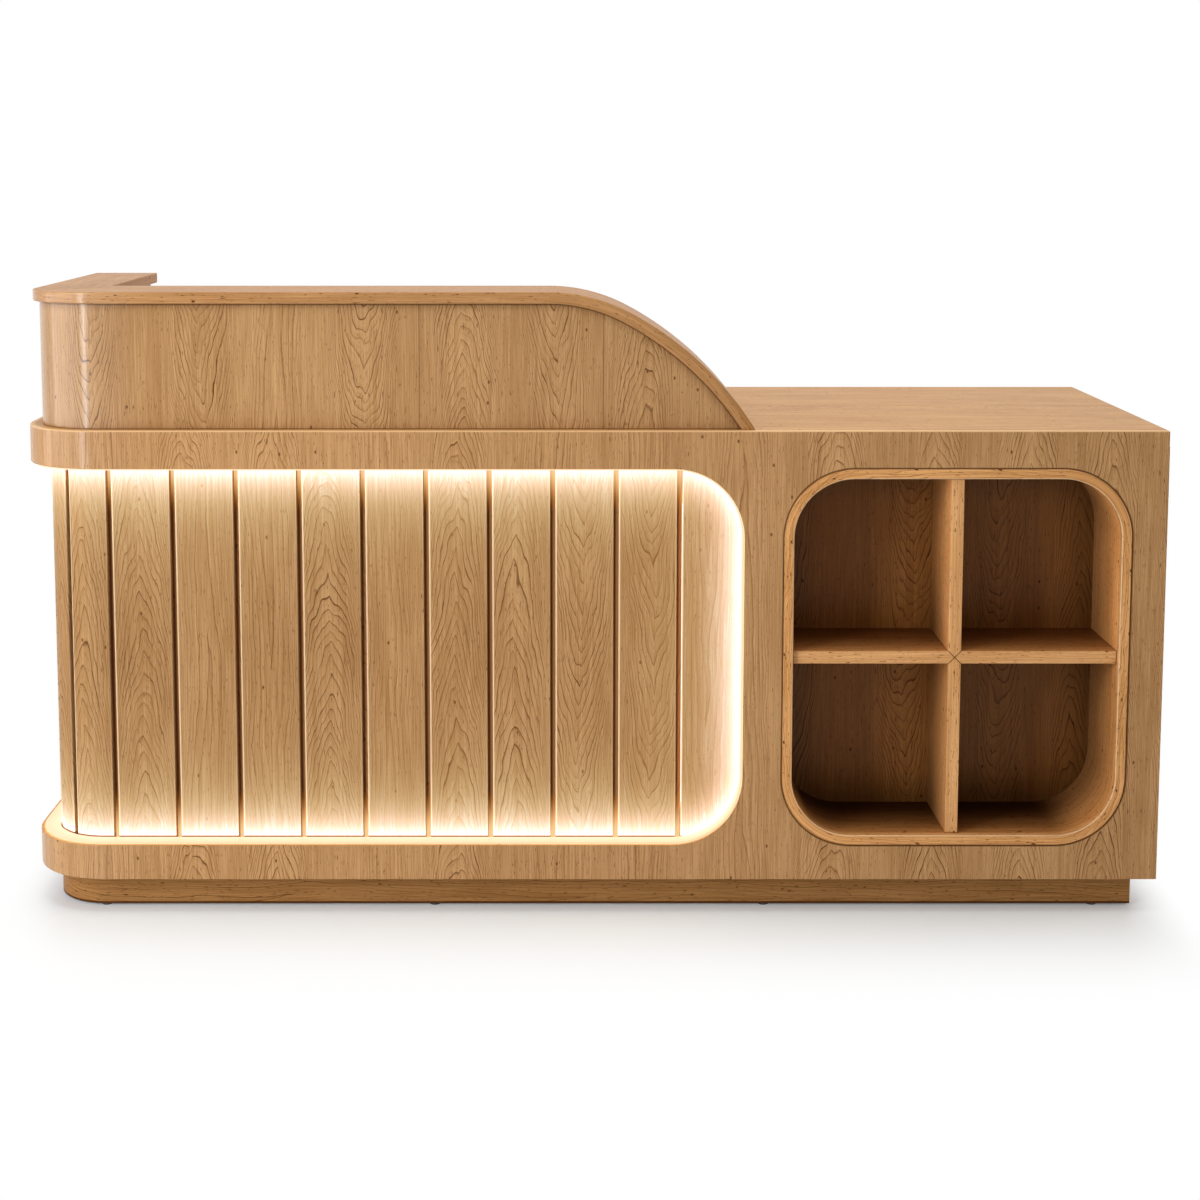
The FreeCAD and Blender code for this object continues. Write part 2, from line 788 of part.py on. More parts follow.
def build_runners():
    rear = front_panel_y - dim.runner_front_distance
    span = (cabinet_front_y + dim.runner_rear_room, rear)
    step = dim.runner_wall + dim.runner_clearance
    outer_half = dim.runner_height / 2
    middle_half = outer_half - step
    inner_half = middle_half - step
    members = {"runner_outer": [], "runner_middle": [], "runner_inner": []}
    for side, wall_x, way in (("left", inside_left, 1), ("right", inside_right, -1)):
        inwards = way == 1
        middle_x = wall_x + dim.runner_middle_offset * way
        drawer_x = wall_x + dim.runner_room * way
        members["runner_outer"].append(
            runner_channel(f"outer_{side}", wall_x, dim.runner_outer_depth, outer_half, inwards, span)
        )
        members["runner_middle"].append(
            runner_channel(f"middle_{side}", middle_x, dim.runner_middle_depth, middle_half, inwards, span)
        )
        members["runner_inner"].append(
            runner_channel(f"inner_{side}", drawer_x, dim.runner_inner_depth, inner_half, not inwards, span)
        )
    for label, pair in members.items():
        as_part(group(f"{label}_pair", pair), label)


def build_drawer():
    gap = dim.front_gap
    low_z, high_z = rail_top + gap, worktop_low - gap
    low_x, high_x = inside_left + gap, inside_right - gap
    middle = (low_x + high_x) / 2
    half, depth = dim.pull_width / 2, dim.pull_depth
    radius = (half * half + depth * depth) / (depth * 2)
    steps = [
        (low_x, low_z),
        (high_x, low_z),
        (high_x, high_z),
        (middle + half, high_z),
        Arc((middle - half, high_z), (middle, high_z + radius - depth), radius, "right"),
        (low_x, high_z),
    ]
    as_part(plate("drawer_face", "XZ", [steps], front_panel_y, back), "drawer_front")

    box_x = (inside_left + dim.runner_room, inside_right - dim.runner_room)
    box_y = (cabinet_front_y + dim.drawer_rear_room, front_panel_y)
    box_low = rail_top + dim.drawer_box_lift
    box_high = box_low + dim.drawer_box_height
    wall = dim.drawer_side
    inner_x = (box_x[0] + wall, box_x[1] - wall)
    floor_high = box_low + dim.drawer_floor
    sides = [
        block("drawer_side_left", (box_x[0], inner_x[0]), box_y, (box_low, box_high)),
        block("drawer_side_right", (inner_x[1], box_x[1]), box_y, (box_low, box_high)),
    ]
    as_part(group("drawer_sides_pair", sides), "drawer_sides")
    as_part(block("drawer_floor", inner_x, box_y, (box_low, floor_high)), "drawer_bottom")
    back_board = block("drawer_back_board", inner_x, (box_y[0], box_y[0] + wall), (floor_high, box_high))
    as_part(back_board, "drawer_back")


def build_doors():
    gap = dim.front_gap
    low_z, high_z = base_top + gap, rail_low - gap
    outer_x = (inside_left + gap, inside_right - gap)
    middle = (inside_left + inside_right) / 2
    pull_z = high_z - dim.door_pull_drop
    pull = dim.door_pull_radius
    pivot_y = back - dim.board_thickness / 2
    hole_radius = dim.pivot_radius + dim.pivot_clearance
    pin_reach = dim.pivot_pin_length - gap
    hole_depth = pin_reach + gap / 2
    plates = []
    for side, edge_x, way, turn in (("left", outer_x[0], 1, "right"), ("right", outer_x[1], -1, "left")):
        meeting_x = middle - gap / 2 * way
        pivot_x = edge_x + dim.pivot_edge_distance * way
        pull_centre = (meeting_x, pull_z)
        steps = [
            (edge_x, low_z),
            (meeting_x, low_z),
            (meeting_x, pull_z - pull),
            Arc((meeting_x - pull * way, pull_z), pull_centre, pull, turn),
            Arc((meeting_x, pull_z + pull), pull_centre, pull, turn),
            (meeting_x, high_z),
            (edge_x, high_z),
        ]
        panel = plate(f"{side}_door_board", "XZ", [steps], front_panel_y, back)
        holes = []
        for end, hole_z in (("low", low_z), ("high", high_z - hole_depth)):
            start = (pivot_x, pivot_y, hole_z)
            holes.append(rod(f"{side}_door_hole_{end}", start, "z", hole_radius, hole_depth))
        as_part(cut(f"{side}_door_panel", panel, holes), f"{side}_door")

        # A pivot plate under and over each door, with a pin that enters the door's edge.
        plate_x = (pivot_x - dim.pivot_plate_length / 2, pivot_x + dim.pivot_plate_length / 2)
        plate_y = (pivot_y - dim.pivot_plate_width / 2, pivot_y + dim.pivot_plate_width / 2)
        thick, length = dim.pivot_plate_thickness, dim.pivot_pin_length
        ends = (("low", base_top, base_top), ("high", rail_low - thick, rail_low - length))
        for end, plate_z, pin_z in ends:
            flat = block(f"{side}_plate_{end}", plate_x, plate_y, (plate_z, plate_z + thick))
            pin = rod(f"{side}_pin_{end}", (pivot_x, pivot_y, pin_z), "z", dim.pivot_radius, length)
            plates.append(fuse(f"{side}_pivot_{end}", flat, pin))
    as_part(group("pivots", plates), "door_pivots")


def build_switch():
    middle_y = back - dim.switch_rear_distance
    middle_z = worktop_low - dim.switch_drop
    face_x = cabinet_left - dim.switch_bezel_thickness
    pivot_x = face_x + dim.rocker_depth
    face_point, seat_point = (face_x, middle_y, middle_z), (cabinet_left, middle_y, middle_z)
    bezel = rod("bezel", face_point, "x", dim.switch_bezel_radius, dim.switch_bezel_thickness)
    barrel = rod("barrel", seat_point, "x", dim.switch_barrel_radius, dim.switch_barrel_length)
    half_width = dim.switch_window_width / 2
    half_height = dim.rocker_radius + dim.rocker_clearance
    window = block(
        "switch_window",
        (face_x, pivot_x + half_height),
        (middle_y - half_width, middle_y + half_width),
        (middle_z - half_height, middle_z + half_height),
    )
    as_part(cut("switch_case", fuse("switch_body", bezel, barrel), [window]), "switch_housing")

    # The rocker is drawn about its own axis, level, and stands tilted at rest.
    radius, face = dim.rocker_radius, dim.rocker_face
    reach = root(radius * radius - face * face)
    axis = (as_size(0), as_size(0))
    steps = [
        (dim.rocker_hollow - face, as_size(0)),
        (-face, -reach),
        Arc((radius, as_size(0)), axis, radius, "left"),
        Arc((-face, reach), axis, radius, "left"),
    ]
    half = dim.rocker_width / 2
    rocker = plate("rocker_body", "XZ", [steps], -half, half, (pivot_x, middle_y, middle_z))
    rocker.Placement.Rotation = FreeCAD.Rotation(FreeCAD.Vector(0, 1, 0), dim.rocker_tilt.value)
    rocker.setExpression("Placement.Rotation.Angle", dim.rocker_tilt.text)
    as_part(rocker, "switch_rocker")


build_plinth()
build_base()
build_fascia()
build_slats()
build_backers()
build_light()
build_niche()
build_cabinet()
build_worktop()
build_counter()
build_runners()
build_drawer()
build_doors()
build_switch()
doc.recompute()

failed = [item.Label for item in doc.Objects if {"Invalid", "Error"} & set(item.State)]
failed += [item.Label for item in parts if item.Shape.isNull() or not item.Shape.isValid()]
if failed:
    raise RuntimeError(f"these objects failed: {failed}")

os.makedirs("parts", exist_ok=True)
for item in parts:
    item.Shape.exportStep(os.path.join("parts", f"{item.Label}.step"))
print(len(parts), "sub-parts,", sum(len(item.Shape.Solids) for item in parts), "solids")
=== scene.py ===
import json
import math
from functools import reduce

import bmesh
import bpy
from mathutils import Matrix, Vector

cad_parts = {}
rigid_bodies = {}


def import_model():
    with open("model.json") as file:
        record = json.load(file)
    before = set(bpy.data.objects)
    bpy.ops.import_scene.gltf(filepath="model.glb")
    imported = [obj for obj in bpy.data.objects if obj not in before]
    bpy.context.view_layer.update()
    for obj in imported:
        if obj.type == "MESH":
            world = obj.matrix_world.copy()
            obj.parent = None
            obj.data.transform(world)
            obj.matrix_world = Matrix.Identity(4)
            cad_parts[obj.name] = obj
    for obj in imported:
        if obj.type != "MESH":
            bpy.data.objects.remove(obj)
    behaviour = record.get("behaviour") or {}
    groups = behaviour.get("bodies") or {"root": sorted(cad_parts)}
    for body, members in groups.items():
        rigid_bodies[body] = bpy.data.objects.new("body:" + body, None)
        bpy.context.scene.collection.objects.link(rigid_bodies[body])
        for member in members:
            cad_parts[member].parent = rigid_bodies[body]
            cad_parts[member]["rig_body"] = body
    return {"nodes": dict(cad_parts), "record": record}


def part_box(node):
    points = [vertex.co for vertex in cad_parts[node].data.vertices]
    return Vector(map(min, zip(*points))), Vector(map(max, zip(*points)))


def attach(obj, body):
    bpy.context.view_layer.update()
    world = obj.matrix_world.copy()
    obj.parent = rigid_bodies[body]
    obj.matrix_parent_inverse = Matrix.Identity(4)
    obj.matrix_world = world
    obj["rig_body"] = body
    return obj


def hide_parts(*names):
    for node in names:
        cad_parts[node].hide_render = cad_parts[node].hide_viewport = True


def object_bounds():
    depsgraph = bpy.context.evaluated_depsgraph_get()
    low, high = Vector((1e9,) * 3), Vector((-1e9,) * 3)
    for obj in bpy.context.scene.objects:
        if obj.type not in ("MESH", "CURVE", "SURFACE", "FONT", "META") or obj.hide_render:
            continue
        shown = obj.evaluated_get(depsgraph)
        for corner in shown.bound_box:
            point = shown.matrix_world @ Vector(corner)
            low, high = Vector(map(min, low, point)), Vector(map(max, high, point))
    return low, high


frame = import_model()
cad_low, cad_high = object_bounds()

nodes = frame["nodes"]
scene = bpy.context.scene
slot_of = {part["node"]: part["material_slot"] for part in frame["record"]["subparts"]}

# Places on the desk that the finishes and the rounded arrises refer to, in metres.
MILLIMETRE = 0.001
(DESK_LEFT, DESK_FRONT, _), (CORNER_X, CORNER_Y, _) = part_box("corner_rails")
CORNER_RADIUS = CORNER_X - DESK_LEFT
SLAT_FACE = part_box("front_slat_01")[0][1]
SLAT_RADIUS = CORNER_Y - SLAT_FACE
SLAT_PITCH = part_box("front_slat_02")[0][0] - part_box("front_slat_03")[0][0]
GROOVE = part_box("front_slat_02")[0][0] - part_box("front_slat_03")[1][0]
RIGHT_GROOVE_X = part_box("front_slat_01")[0][0] - GROOVE / 2
FIRST_SIDE_GROOVE_Y = CORNER_Y + 0.060
CORNER_SLAT_TURN = math.radians(34.0)
WORKTOP_LOW, WORKTOP_HIGH = [corner[2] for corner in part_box("worktop")]
COUNTER_LOW, COUNTER_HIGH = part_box("counter_top")
STRIP_LOW, STRIP_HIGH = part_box("light_strip")
LINER_LOW, LINER_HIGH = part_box("niche_liner")
LINER_MIDDLE = (LINER_LOW + LINER_HIGH) / 2
LINER_WALL = 0.016
OPENING_RADIUS = 0.110
NICHE_HALF_WIDTH = (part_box("niche_shelf_right")[1][0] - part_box("niche_shelf_left")[0][0]) / 2
NICHE_HALF_HEIGHT = (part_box("niche_divider_upper")[1][2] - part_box("niche_divider_lower")[0][2]) / 2
PLINTH_LOW, PLINTH_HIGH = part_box("plinth_front_rail")
STAFF_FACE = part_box("left_door")[1][1]

# The underside of the sweep: an arc of 28 degrees from the end of the counter top, then a wider one.
FIRST_RADIUS, FIRST_TURN, SECOND_RADIUS = 0.250, math.radians(28.0), 0.500
FIRST_CENTRE = (COUNTER_HIGH[0], COUNTER_LOW[2] - FIRST_RADIUS)
SECOND_CENTRE = (
    FIRST_CENTRE[0] - (SECOND_RADIUS - FIRST_RADIUS) * math.sin(FIRST_TURN),
    FIRST_CENTRE[1] - (SECOND_RADIUS - FIRST_RADIUS) * math.cos(FIRST_TURN),
)

WHITE, BLACK = (1, 1, 1, 1), (0, 0, 0, 1)
PALE_OAK = (0.530, 0.306, 0.140, 1)
MID_OAK = (0.345, 0.175, 0.066, 1)
DARK_OAK = (0.095, 0.032, 0.008, 1)
# The colour of painted highlights on the arrises of the slats and of the niche liner.
ARRIS_HIGHLIGHT = (0.80, 0.60, 0.40, 1)


# Shader nodes


def reckoned(operation):
    """An operator that adds a node with this operation."""
    return lambda value, *others: value.bench.math(operation, value, *others)


class Value:
    """What a node puts out. Reckoning with it like a number adds nodes to its tree."""

    __add__ = __radd__ = reckoned("ADD")
    __mul__ = __rmul__ = reckoned("MULTIPLY")
    __sub__, __truediv__, __pow__ = reckoned("SUBTRACT"), reckoned("DIVIDE"), reckoned("POWER")
    __gt__, __lt__, __abs__ = reckoned("GREATER_THAN"), reckoned("LESS_THAN"), reckoned("ABSOLUTE")

    def __init__(self, bench, socket):
        self.bench = bench
        self.socket = socket

    def __rsub__(self, other):
        return self.bench.math("SUBTRACT", other, self)

    def __neg__(self):
        return self * -1.0

    def rise(self, low, high, start=0.0, end=1.0):
        """A soft step from start to end as the value goes from low to high."""
        made = self.bench.node("ShaderNodeMapRange", interpolation_type="SMOOTHSTEP")
        self.bench.fill(made.inputs, (self, low, high, start, end))
        return Value(self.bench, made.outputs[0])

    def fade(self, low, high, start=1.0):
        """A soft step from start to nothing as the value goes from low to high."""
        return self.rise(low, high, start, 0.0)

    def centred(self, spread):
        """A value from 0 to 1 spread evenly about 0."""
        return (self - 0.5) * spread

    def decay(self, rate):
        """Falls off from 1 as the value goes below 0."""
        return self.bench.math("EXPONENT", self * rate)


class Bench:
    """Adds nodes to one tree. What goes in may be a number, a colour, a value or a node's socket."""

    def __init__(self, tree):
        self.tree = tree

    def node(self, kind, **settings):
        made = self.tree.nodes.new(kind)
        for name, value in settings.items():
            setattr(made, name, value)
        return made

    def outputs(self, node):
        return {socket.name: Value(self, socket) for socket in node.outputs}

    def feed(self, socket, value):
        value = getattr(value, "socket", value)
        if isinstance(value, bpy.types.NodeSocket):
            self.tree.links.new(value, socket)
        else:
            socket.default_value = value

    def fill(self, sockets, values):
        for socket, value in zip(sockets, values):
            self.feed(socket, value)

    def math(self, operation, *values):
        made = self.node("ShaderNodeMath", operation=operation)
        self.fill(made.inputs, values)
        return Value(self, made.outputs[0])

    def largest(self, *values):
        return reduce(lambda a, b: self.math("MAXIMUM", a, b), values)

    def smallest(self, a, b):
        return self.math("MINIMUM", a, b)

    def length(self, a, b):
        """The long side of a right triangle."""
        return self.math("SQRT", a * a + b * b)

    def split(self, vector):
        made = self.node("ShaderNodeSeparateXYZ")
        self.feed(made.inputs[0], vector)
        return list(self.outputs(made).values())

    def on_part(self, kind="Object"):
        """The x, y and z of the shaded point on the part, or of its Normal."""
        return self.split(self.node("ShaderNodeTexCoord").outputs[kind])

    def point(self, x, y, z=0.0):
        made = self.node("ShaderNodeCombineXYZ")
        self.fill(made.inputs, (x, y, z))
        return made.outputs[0]

    def noise(self, point, detail=2.0, roughness=0.5):
        """A noise as a number, and as a colour of three numbers."""
        made = self.node("ShaderNodeTexNoise")
        labels = ("Vector", "Scale", "Detail", "Roughness")
        self.fill([made.inputs[label] for label in labels], (point, 1.0, detail, roughness))
        return Value(self, made.outputs[0]), made.outputs["Color"]

    def chance(self, number):
        """Three random values that stay the same for the same number."""
        made = self.node("ShaderNodeTexWhiteNoise", noise_dimensions="1D")
        self.feed(made.inputs["W"], number)
        return self.split(made.outputs["Color"])

    def blend(self, share, a, b, kind="MIX"):
        """A colour between two colours."""
        made = self.node("ShaderNodeMix", data_type="RGBA", blend_type=kind)
        self.fill([made.inputs[number] for number in (0, 6, 7)], (share, a, b))
        return Value(self, made.outputs[2])

    # Multiplies a colour by a factor: a stain's tint, or painted light or shade.
    def tint_and_shade(self, colour, factor):
        return self.blend(1.0, colour, factor, "MULTIPLY")

    def choose(self, share, a, b):
        """A number between two numbers."""
        made = self.node("ShaderNodeMix", data_type="FLOAT")
        self.fill([made.inputs[number] for number in (0, 2, 3)], (share, a, b))
        return Value(self, made.outputs[0])

    def place(self, group, **values):
        """Puts a shared group into this tree and gives its outputs."""
        made = self.node("ShaderNodeGroup", node_tree=group)
        for name, value in values.items():
            self.feed(made.inputs[name.replace("_", " ").title()], value)
        return self.outputs(made)

    def bump(self, shader, height, strength, relief):
        """Fine relief of a surface, in metres."""
        made = self.node("ShaderNodeBump")
        labels = ("Strength", "Distance", "Height")
        self.fill([made.inputs[label] for label in labels], (strength, relief, height))
        self.feed(shader.inputs["Normal"], made.outputs["Normal"])

    def seen_directly(self):
        """1 where the camera looks, also by way of gloss or glass, and 0 where only light falls."""
        path = self.outputs(self.node("ShaderNodeLightPath"))
        return self.largest(path["Is Camera Ray"], path["Is Glossy Ray"], path["Is Transmission Ray"])


def new_group(name, inputs, outputs):
    """An empty node group whose inputs and outputs are numbers, or colours where they hold one."""
    group = bpy.data.node_groups.new(name, "ShaderNodeTree")
    for label, default in inputs.items():
        kind = "NodeSocketFloat" if isinstance(default, float) else "NodeSocketColor"
        group.interface.new_socket(label, in_out="INPUT", socket_type=kind).default_value = default
    for label in outputs:
        kind = "NodeSocketColor" if label == "Colour" else "NodeSocketFloat"
        group.interface.new_socket(label, in_out="OUTPUT", socket_type=kind)
    bench = Bench(group)
    given = bench.outputs(bench.node("NodeGroupInput"))
    return group, bench, given, bench.node("NodeGroupOutput").inputs


def make_panel_run():
    """Where a point lies on the desk's outline: its run round the corner, its height and its facing."""
    labels = ("Run", "Height", "Turn", "Reach", "X", "Y", "Flat", "Outward")
    group, bench, _, out = new_group("panel run", {}, labels)
    squarely, right_end_start = 0.7, 1.2
    x, y, z = bench.on_part()
    facing_x, facing_y, facing_z = bench.on_part("Normal")
    past_x = bench.smallest(x - CORNER_X, 0.0)
    past_y = bench.smallest(y - CORNER_Y, 0.0)
    turn = bench.math("ARCTAN2", -past_x, -past_y)
    along_side = bench.choose(facing_x < -squarely, bench.largest(y - CORNER_Y, 0.0), y - CORNER_Y)
    run = bench.largest(x, CORNER_X) - turn * CORNER_RADIUS - along_side
    run = bench.choose(facing_x > squarely, run, y + right_end_start)
    run = bench.choose(facing_y > squarely, run, x)
    flat = abs(facing_z).rise(0.6, 0.75)
    outward = bench.largest(-facing_x, -facing_y).rise(0.5, 0.65)
    bench.fill(out, (run, z, turn, bench.length(past_x, past_y), x, y, flat, outward))
    return group


def make_round_outline():
    """How far a point lies outside a rectangle with round corners, less than 0 inside it."""
    inputs = dict.fromkeys(("Across", "Height", "Middle Across", "Middle Height"), 0.0)
    inputs.update({"Half Width": 0.5, "Half Height": 0.5, "Radius": 0.1})
    group, bench, given, out = new_group("round outline", inputs, ("Outside",))
    radius = given["Radius"]
    right = abs(given["Across"] - given["Middle Across"]) - (given["Half Width"] - radius)
    up = abs(given["Height"] - given["Middle Height"]) - (given["Half Height"] - radius)
    corner = bench.length(bench.largest(right, 0.0), bench.largest(up, 0.0))
    inside = bench.smallest(bench.largest(right, up), 0.0)
    bench.feed(out["Outside"], corner + inside - radius)
    return group


def make_sweep_line():
    """The underside of the counter and its sweep: how far a point lies below it, and its place along it."""
    group, bench, _, out = new_group("sweep line", {}, ("Below", "Along"))
    x, _, z = bench.on_part()

    def round_part(centre, radius):
        right, up = x - centre[0], z - centre[1]
        return bench.math("ARCTAN2", right, up), radius - bench.length(right, up)

    turn, below = round_part(FIRST_CENTRE, FIRST_RADIUS)
    second_turn, second_below = round_part(SECOND_CENTRE, SECOND_RADIUS)
    on_first = x > FIRST_CENTRE[0]
    on_second = on_first * (turn > FIRST_TURN)
    level_below = FIRST_CENTRE[1] + FIRST_RADIUS - z
    first_along = turn * FIRST_RADIUS + FIRST_CENTRE[0]
    second_start = FIRST_CENTRE[0] + FIRST_TURN * FIRST_RADIUS
    second_along = (second_turn - FIRST_TURN) * SECOND_RADIUS + second_start
    below = bench.choose(on_second, bench.choose(on_first, level_below, below), second_below)
    along = bench.choose(on_second, bench.choose(on_first, x, first_along), second_along)
    bench.fill(out, (below, along))
    return group


def make_wood_figure():
    """The figure of a sawn leaf: pointed arches of growth lines, fine fibre, pores and small knots."""
    inputs = {
        "Across": 0.0, "Place": 0.0, "Along": 0.0, "Leaf": 0.0,
        "Ring": 27.0, "Straight": 0.3, "Contrast": 1.0,
        "Pale": PALE_OAK, "Mid": MID_OAK, "Dark": DARK_OAK,
    }
    group, bench, given, out = new_group("wood figure", inputs, ("Colour", "Roughness", "Height"))
    across, place, height = [given[label] / MILLIMETRE for label in ("Across", "Place", "Along")]
    leaf = given["Leaf"]
    first, second, third = [bench.chance(leaf + offset) for offset in (0.0, 57.3, 91.7)]
    shift = leaf * 7.31

    # Some leaves stand on their head, and each is cut from another part of the log.
    share_on_head, log_length = 0.42, 2400.0
    way = (first[0] > share_on_head) * 2.0 - 1.0
    along = height * way + second[0] * log_length

    def grain(sideways, width, length, detail=2.0, roughness=0.5):
        """A noise drawn out along the grain, to this width and length in millimetres."""
        return bench.noise(bench.point(sideways / width, along / length, shift), detail, roughness)

    # The heart of the leaf wanders, and noises of three sizes bend the growth lines.
    coarse = bench.split(grain(across, width=42.0, length=150.0)[1])
    wobble = grain(across, width=10.0, length=34.0)[0]
    fine = grain(across, width=3.2, length=14.0)[0]
    wander_length = 330.0
    wander = bench.noise(bench.point(along / wander_length, shift), detail=1.0)[0]
    heart = first[1].centred(46.0)
    off = abs(across - heart + coarse[0].centred(18.0) + wander.centred(44.0) + wobble.centred(2.8))

    # The arches: their points slope evenly, their legs straighten, and a plain leaf has almost none.
    leg_start, leg_rise, plain_arch = 15.0, 4.0, 0.1
    near_tip = off * (1.5 + second[1])
    legs = (off / leg_start) ** 3.0 * leg_rise
    plain = first[2] < given["Straight"]
    arch = bench.choose(plain, 0.75 + second[2] * 0.5, plain_arch)
    level = (along + coarse[1].centred(130.0)) * arch
    growth = (level + near_tip + legs) / given["Ring"]
    uneven = bench.noise(bench.point(growth * 0.45, shift), detail=1.0)[0]
    growth = growth + uneven.centred(1.3) + fine.centred(0.07)

    def lines(rate, thin, thick):
        """Growth lines: each darkens slowly, then ends sharply, and some are stronger than others."""
        phase = growth * rate
        part = bench.math("FRACT", phase)
        strength = bench.chance(bench.math("FLOOR", phase) + leaf * 31.7)[0]
        width = off.rise(0.0, 46.0, thin, thick)
        before_end = 1.0 - part
        swell = before_end.fade(width * 0.45, width)
        ending = before_end.rise(0.0, width * 0.22)
        return swell * ending * (0.42 + strength * 0.58), part

    bold, part = lines(rate=1.0, thin=0.15, thick=0.34)
    slight, _ = lines(rate=2.6, thin=0.26, thick=0.45)
    patches = grain(across, width=26.0, length=60.0)[0].rise(0.30, 0.54, 0.35, 1.0)
    bold = bold * patches * off.rise(24.0, 56.0, 1.0, 0.3) * bench.choose(plain, 1.0, 0.6)

    fibre = grain(place, width=1.7, length=85.0, detail=3.0, roughness=0.65)[0]
    streak = grain(place, width=7.0, length=260.0)[0]
    pore_shift = 431.0
    pores = grain(place + pore_shift, width=1.3, length=12.0, detail=1.0)[0].rise(0.65, 0.74)
    cloud_width, cloud_length = 70.0, 260.0
    cloud = bench.noise(bench.point(place / cloud_width, height / cloud_length))[0]

    knot_width, knot_length, knot_share = 55.0, 95.0, 0.38
    knots = bench.node("ShaderNodeTexVoronoi", voronoi_dimensions="2D")
    bench.feed(knots.inputs["Vector"], bench.point(across / knot_width, along / knot_length))
    bench.feed(knots.inputs["Scale"], 1.0)
    kept = bench.split(knots.outputs["Color"])[0] > 1.0 - knot_share
    knot = Value(bench, knots.outputs["Distance"]).fade(0.016, 0.045) * kept

    line = bench.largest(bold, slight * 0.2, knot * 0.85, pores * 0.75) * given["Contrast"]
    line = bench.smallest(line, 1.0)
    soft = part ** 2.0 * 0.35 + fibre.centred(2.1) + streak.centred(0.9) + cloud.centred(0.8)
    soft = (soft + third[0].centred(0.2) + 0.3).rise(-0.35, 1.0)
    colour = bench.blend(line, bench.blend(soft, given["Pale"], given["Mid"]), given["Dark"])
    roughness = 0.33 + line * 0.16 + fibre.centred(0.14)
    relief = fibre * 0.35 - line * 0.8
    bench.fill(out, (colour, roughness, relief))
    return group


def make_mottle():
    """Uneven tone and fine relief of metal and plastic, drawn out along Y where the stretch is over 1."""
    inputs = {"Cloud Size": 0.03, "Grain Size": 0.0006, "Stretch": 1.0}
    group, bench, given, out = new_group("mottle", inputs, ("Tone", "Height"))
    x, y, z = bench.on_part()

    def speckle(size, stretch):
        point = bench.point(x / size, y / (size * stretch), z / size)
        return bench.noise(point, detail=3.0, roughness=0.6)[0]

    cloud, grain = speckle(given["Cloud Size"], 1.0), speckle(given["Grain Size"], given["Stretch"])
    bench.fill(out, (cloud.rise(0.3, 0.7, 0.0, 0.6) + grain.rise(0.3, 0.7, 0.0, 0.4), grain))
    return group


PANEL_RUN = make_panel_run()
ROUND_OUTLINE = make_round_outline()
SWEEP_LINE = make_sweep_line()
WOOD_FIGURE = make_wood_figure()
MOTTLE = make_mottle()


# Materials


def new_material(name, **constants):
    """A material with one shader, whose constants are set on its own sockets."""
    made = bpy.data.materials.new(name)
    made.use_nodes = True
    shader = made.node_tree.nodes["Principled BSDF"]
    for label, value in constants.items():
        shader.inputs[label.replace("_", " ").title().replace("Ior", "IOR")].default_value = value
    return made, Bench(made.node_tree), shader


LACQUER = {"specular_ior_level": 0.03}
GLOSS = {"specular_ior_level": 0.03, "coat_roughness": 0.20}
WOOD_RELIEF = 0.00003


def finish_wood(bench, shader, figure, colour):
    """Joins a wood figure to a lacquered shader."""
    bench.feed(shader.inputs["Base Color"], colour)
    bench.feed(shader.inputs["Roughness"], figure["Roughness"])
    bench.bump(shader, figure["Height"], strength=0.5, relief=WOOD_RELIEF)


def tinted(*factors):
    """The three tones of the wood, tinted as a stained wood or, on the plinth and the niche's back,
    darkened as painted shade.
    """
    stained = [tuple(c * f for c, f in zip(tone, factors)) + (1,) for tone in (PALE_OAK, MID_OAK, DARK_OAK)]
    return dict(zip(("pale", "mid", "dark"), stained))


TONES = tinted(1, 1, 1)
EDGE_TONES = tinted(0.96, 0.91, 0.86)
CROSS_TONES = tinted(1.54, 1.50, 1.48)


def leaves(bench, run, origin, width):
    """Cuts a run into veneer leaves: the place across a leaf and the leaf's number."""
    count = (run - origin) / width
    leaf = bench.math("FLOOR", count)
    return (count - leaf).centred(width), leaf


def bend_gloss(where, flat_run, bend_more):
    """Lacquer on the standing faces: a thin coat on the flat runs and a thick one round the corner."""
    bend = where["X"].fade(CORNER_X - 0.01, CORNER_X + 0.10)
    bend = bend * where["Y"].fade(CORNER_Y - 0.01, CORNER_Y + 0.10)
    return (1.0 - where["Flat"]) * (flat_run + bend * bend_more)


def outside_opening(bench, across, height, left, right, low, high):
    """How far a point lies outside an opening of the fascia, less than 0 inside it."""
    return bench.place(
        ROUND_OUTLINE, across=across, height=height, radius=OPENING_RADIUS,
        middle_across=(left + right) / 2, half_width=(right - left) / 2,
        middle_height=(low + high) / 2, half_height=(high - low) / 2,
    )["Outside"]


def outside_liner(bench, x, z):
    return outside_opening(bench, x, z, LINER_LOW[0], LINER_HIGH[0], LINER_LOW[2], LINER_HIGH[2])


def outside_strip(bench, where):
    """How far a point lies outside the line of the light strip, less than 0 inside it."""
    left, right = CORNER_X - CORNER_RADIUS * math.pi / 2 - (STRIP_HIGH[1] - CORNER_Y), STRIP_HIGH[0]
    run, height = where["Run"], where["Height"]
    outside = outside_opening(bench, run, height, left, right, STRIP_LOW[2], STRIP_HIGH[2])
    strip_width, far_inside = 0.003, -1.0
    return bench.choose(outside > strip_width, outside, far_inside)


def on_return(where):
    return (where["Y"] > CORNER_Y) * (where["X"] < CORNER_X)


LEAF_START, LEAF_WIDTH = -0.268, 0.1435
LEVEL_LEAF = -3.0
# How much lighter level faces are painted, standing in for the light from above.
LEVEL_FACE_LIGHT = (1.20, 1.20, 1.08, 1)
# The colour of the painted highlight on the worktop's arris at the corner.
WORKTOP_ARRIS_HIGHLIGHT = (0.70, 0.48, 0.29, 1)
FASCIA_REAR_Y = -0.25


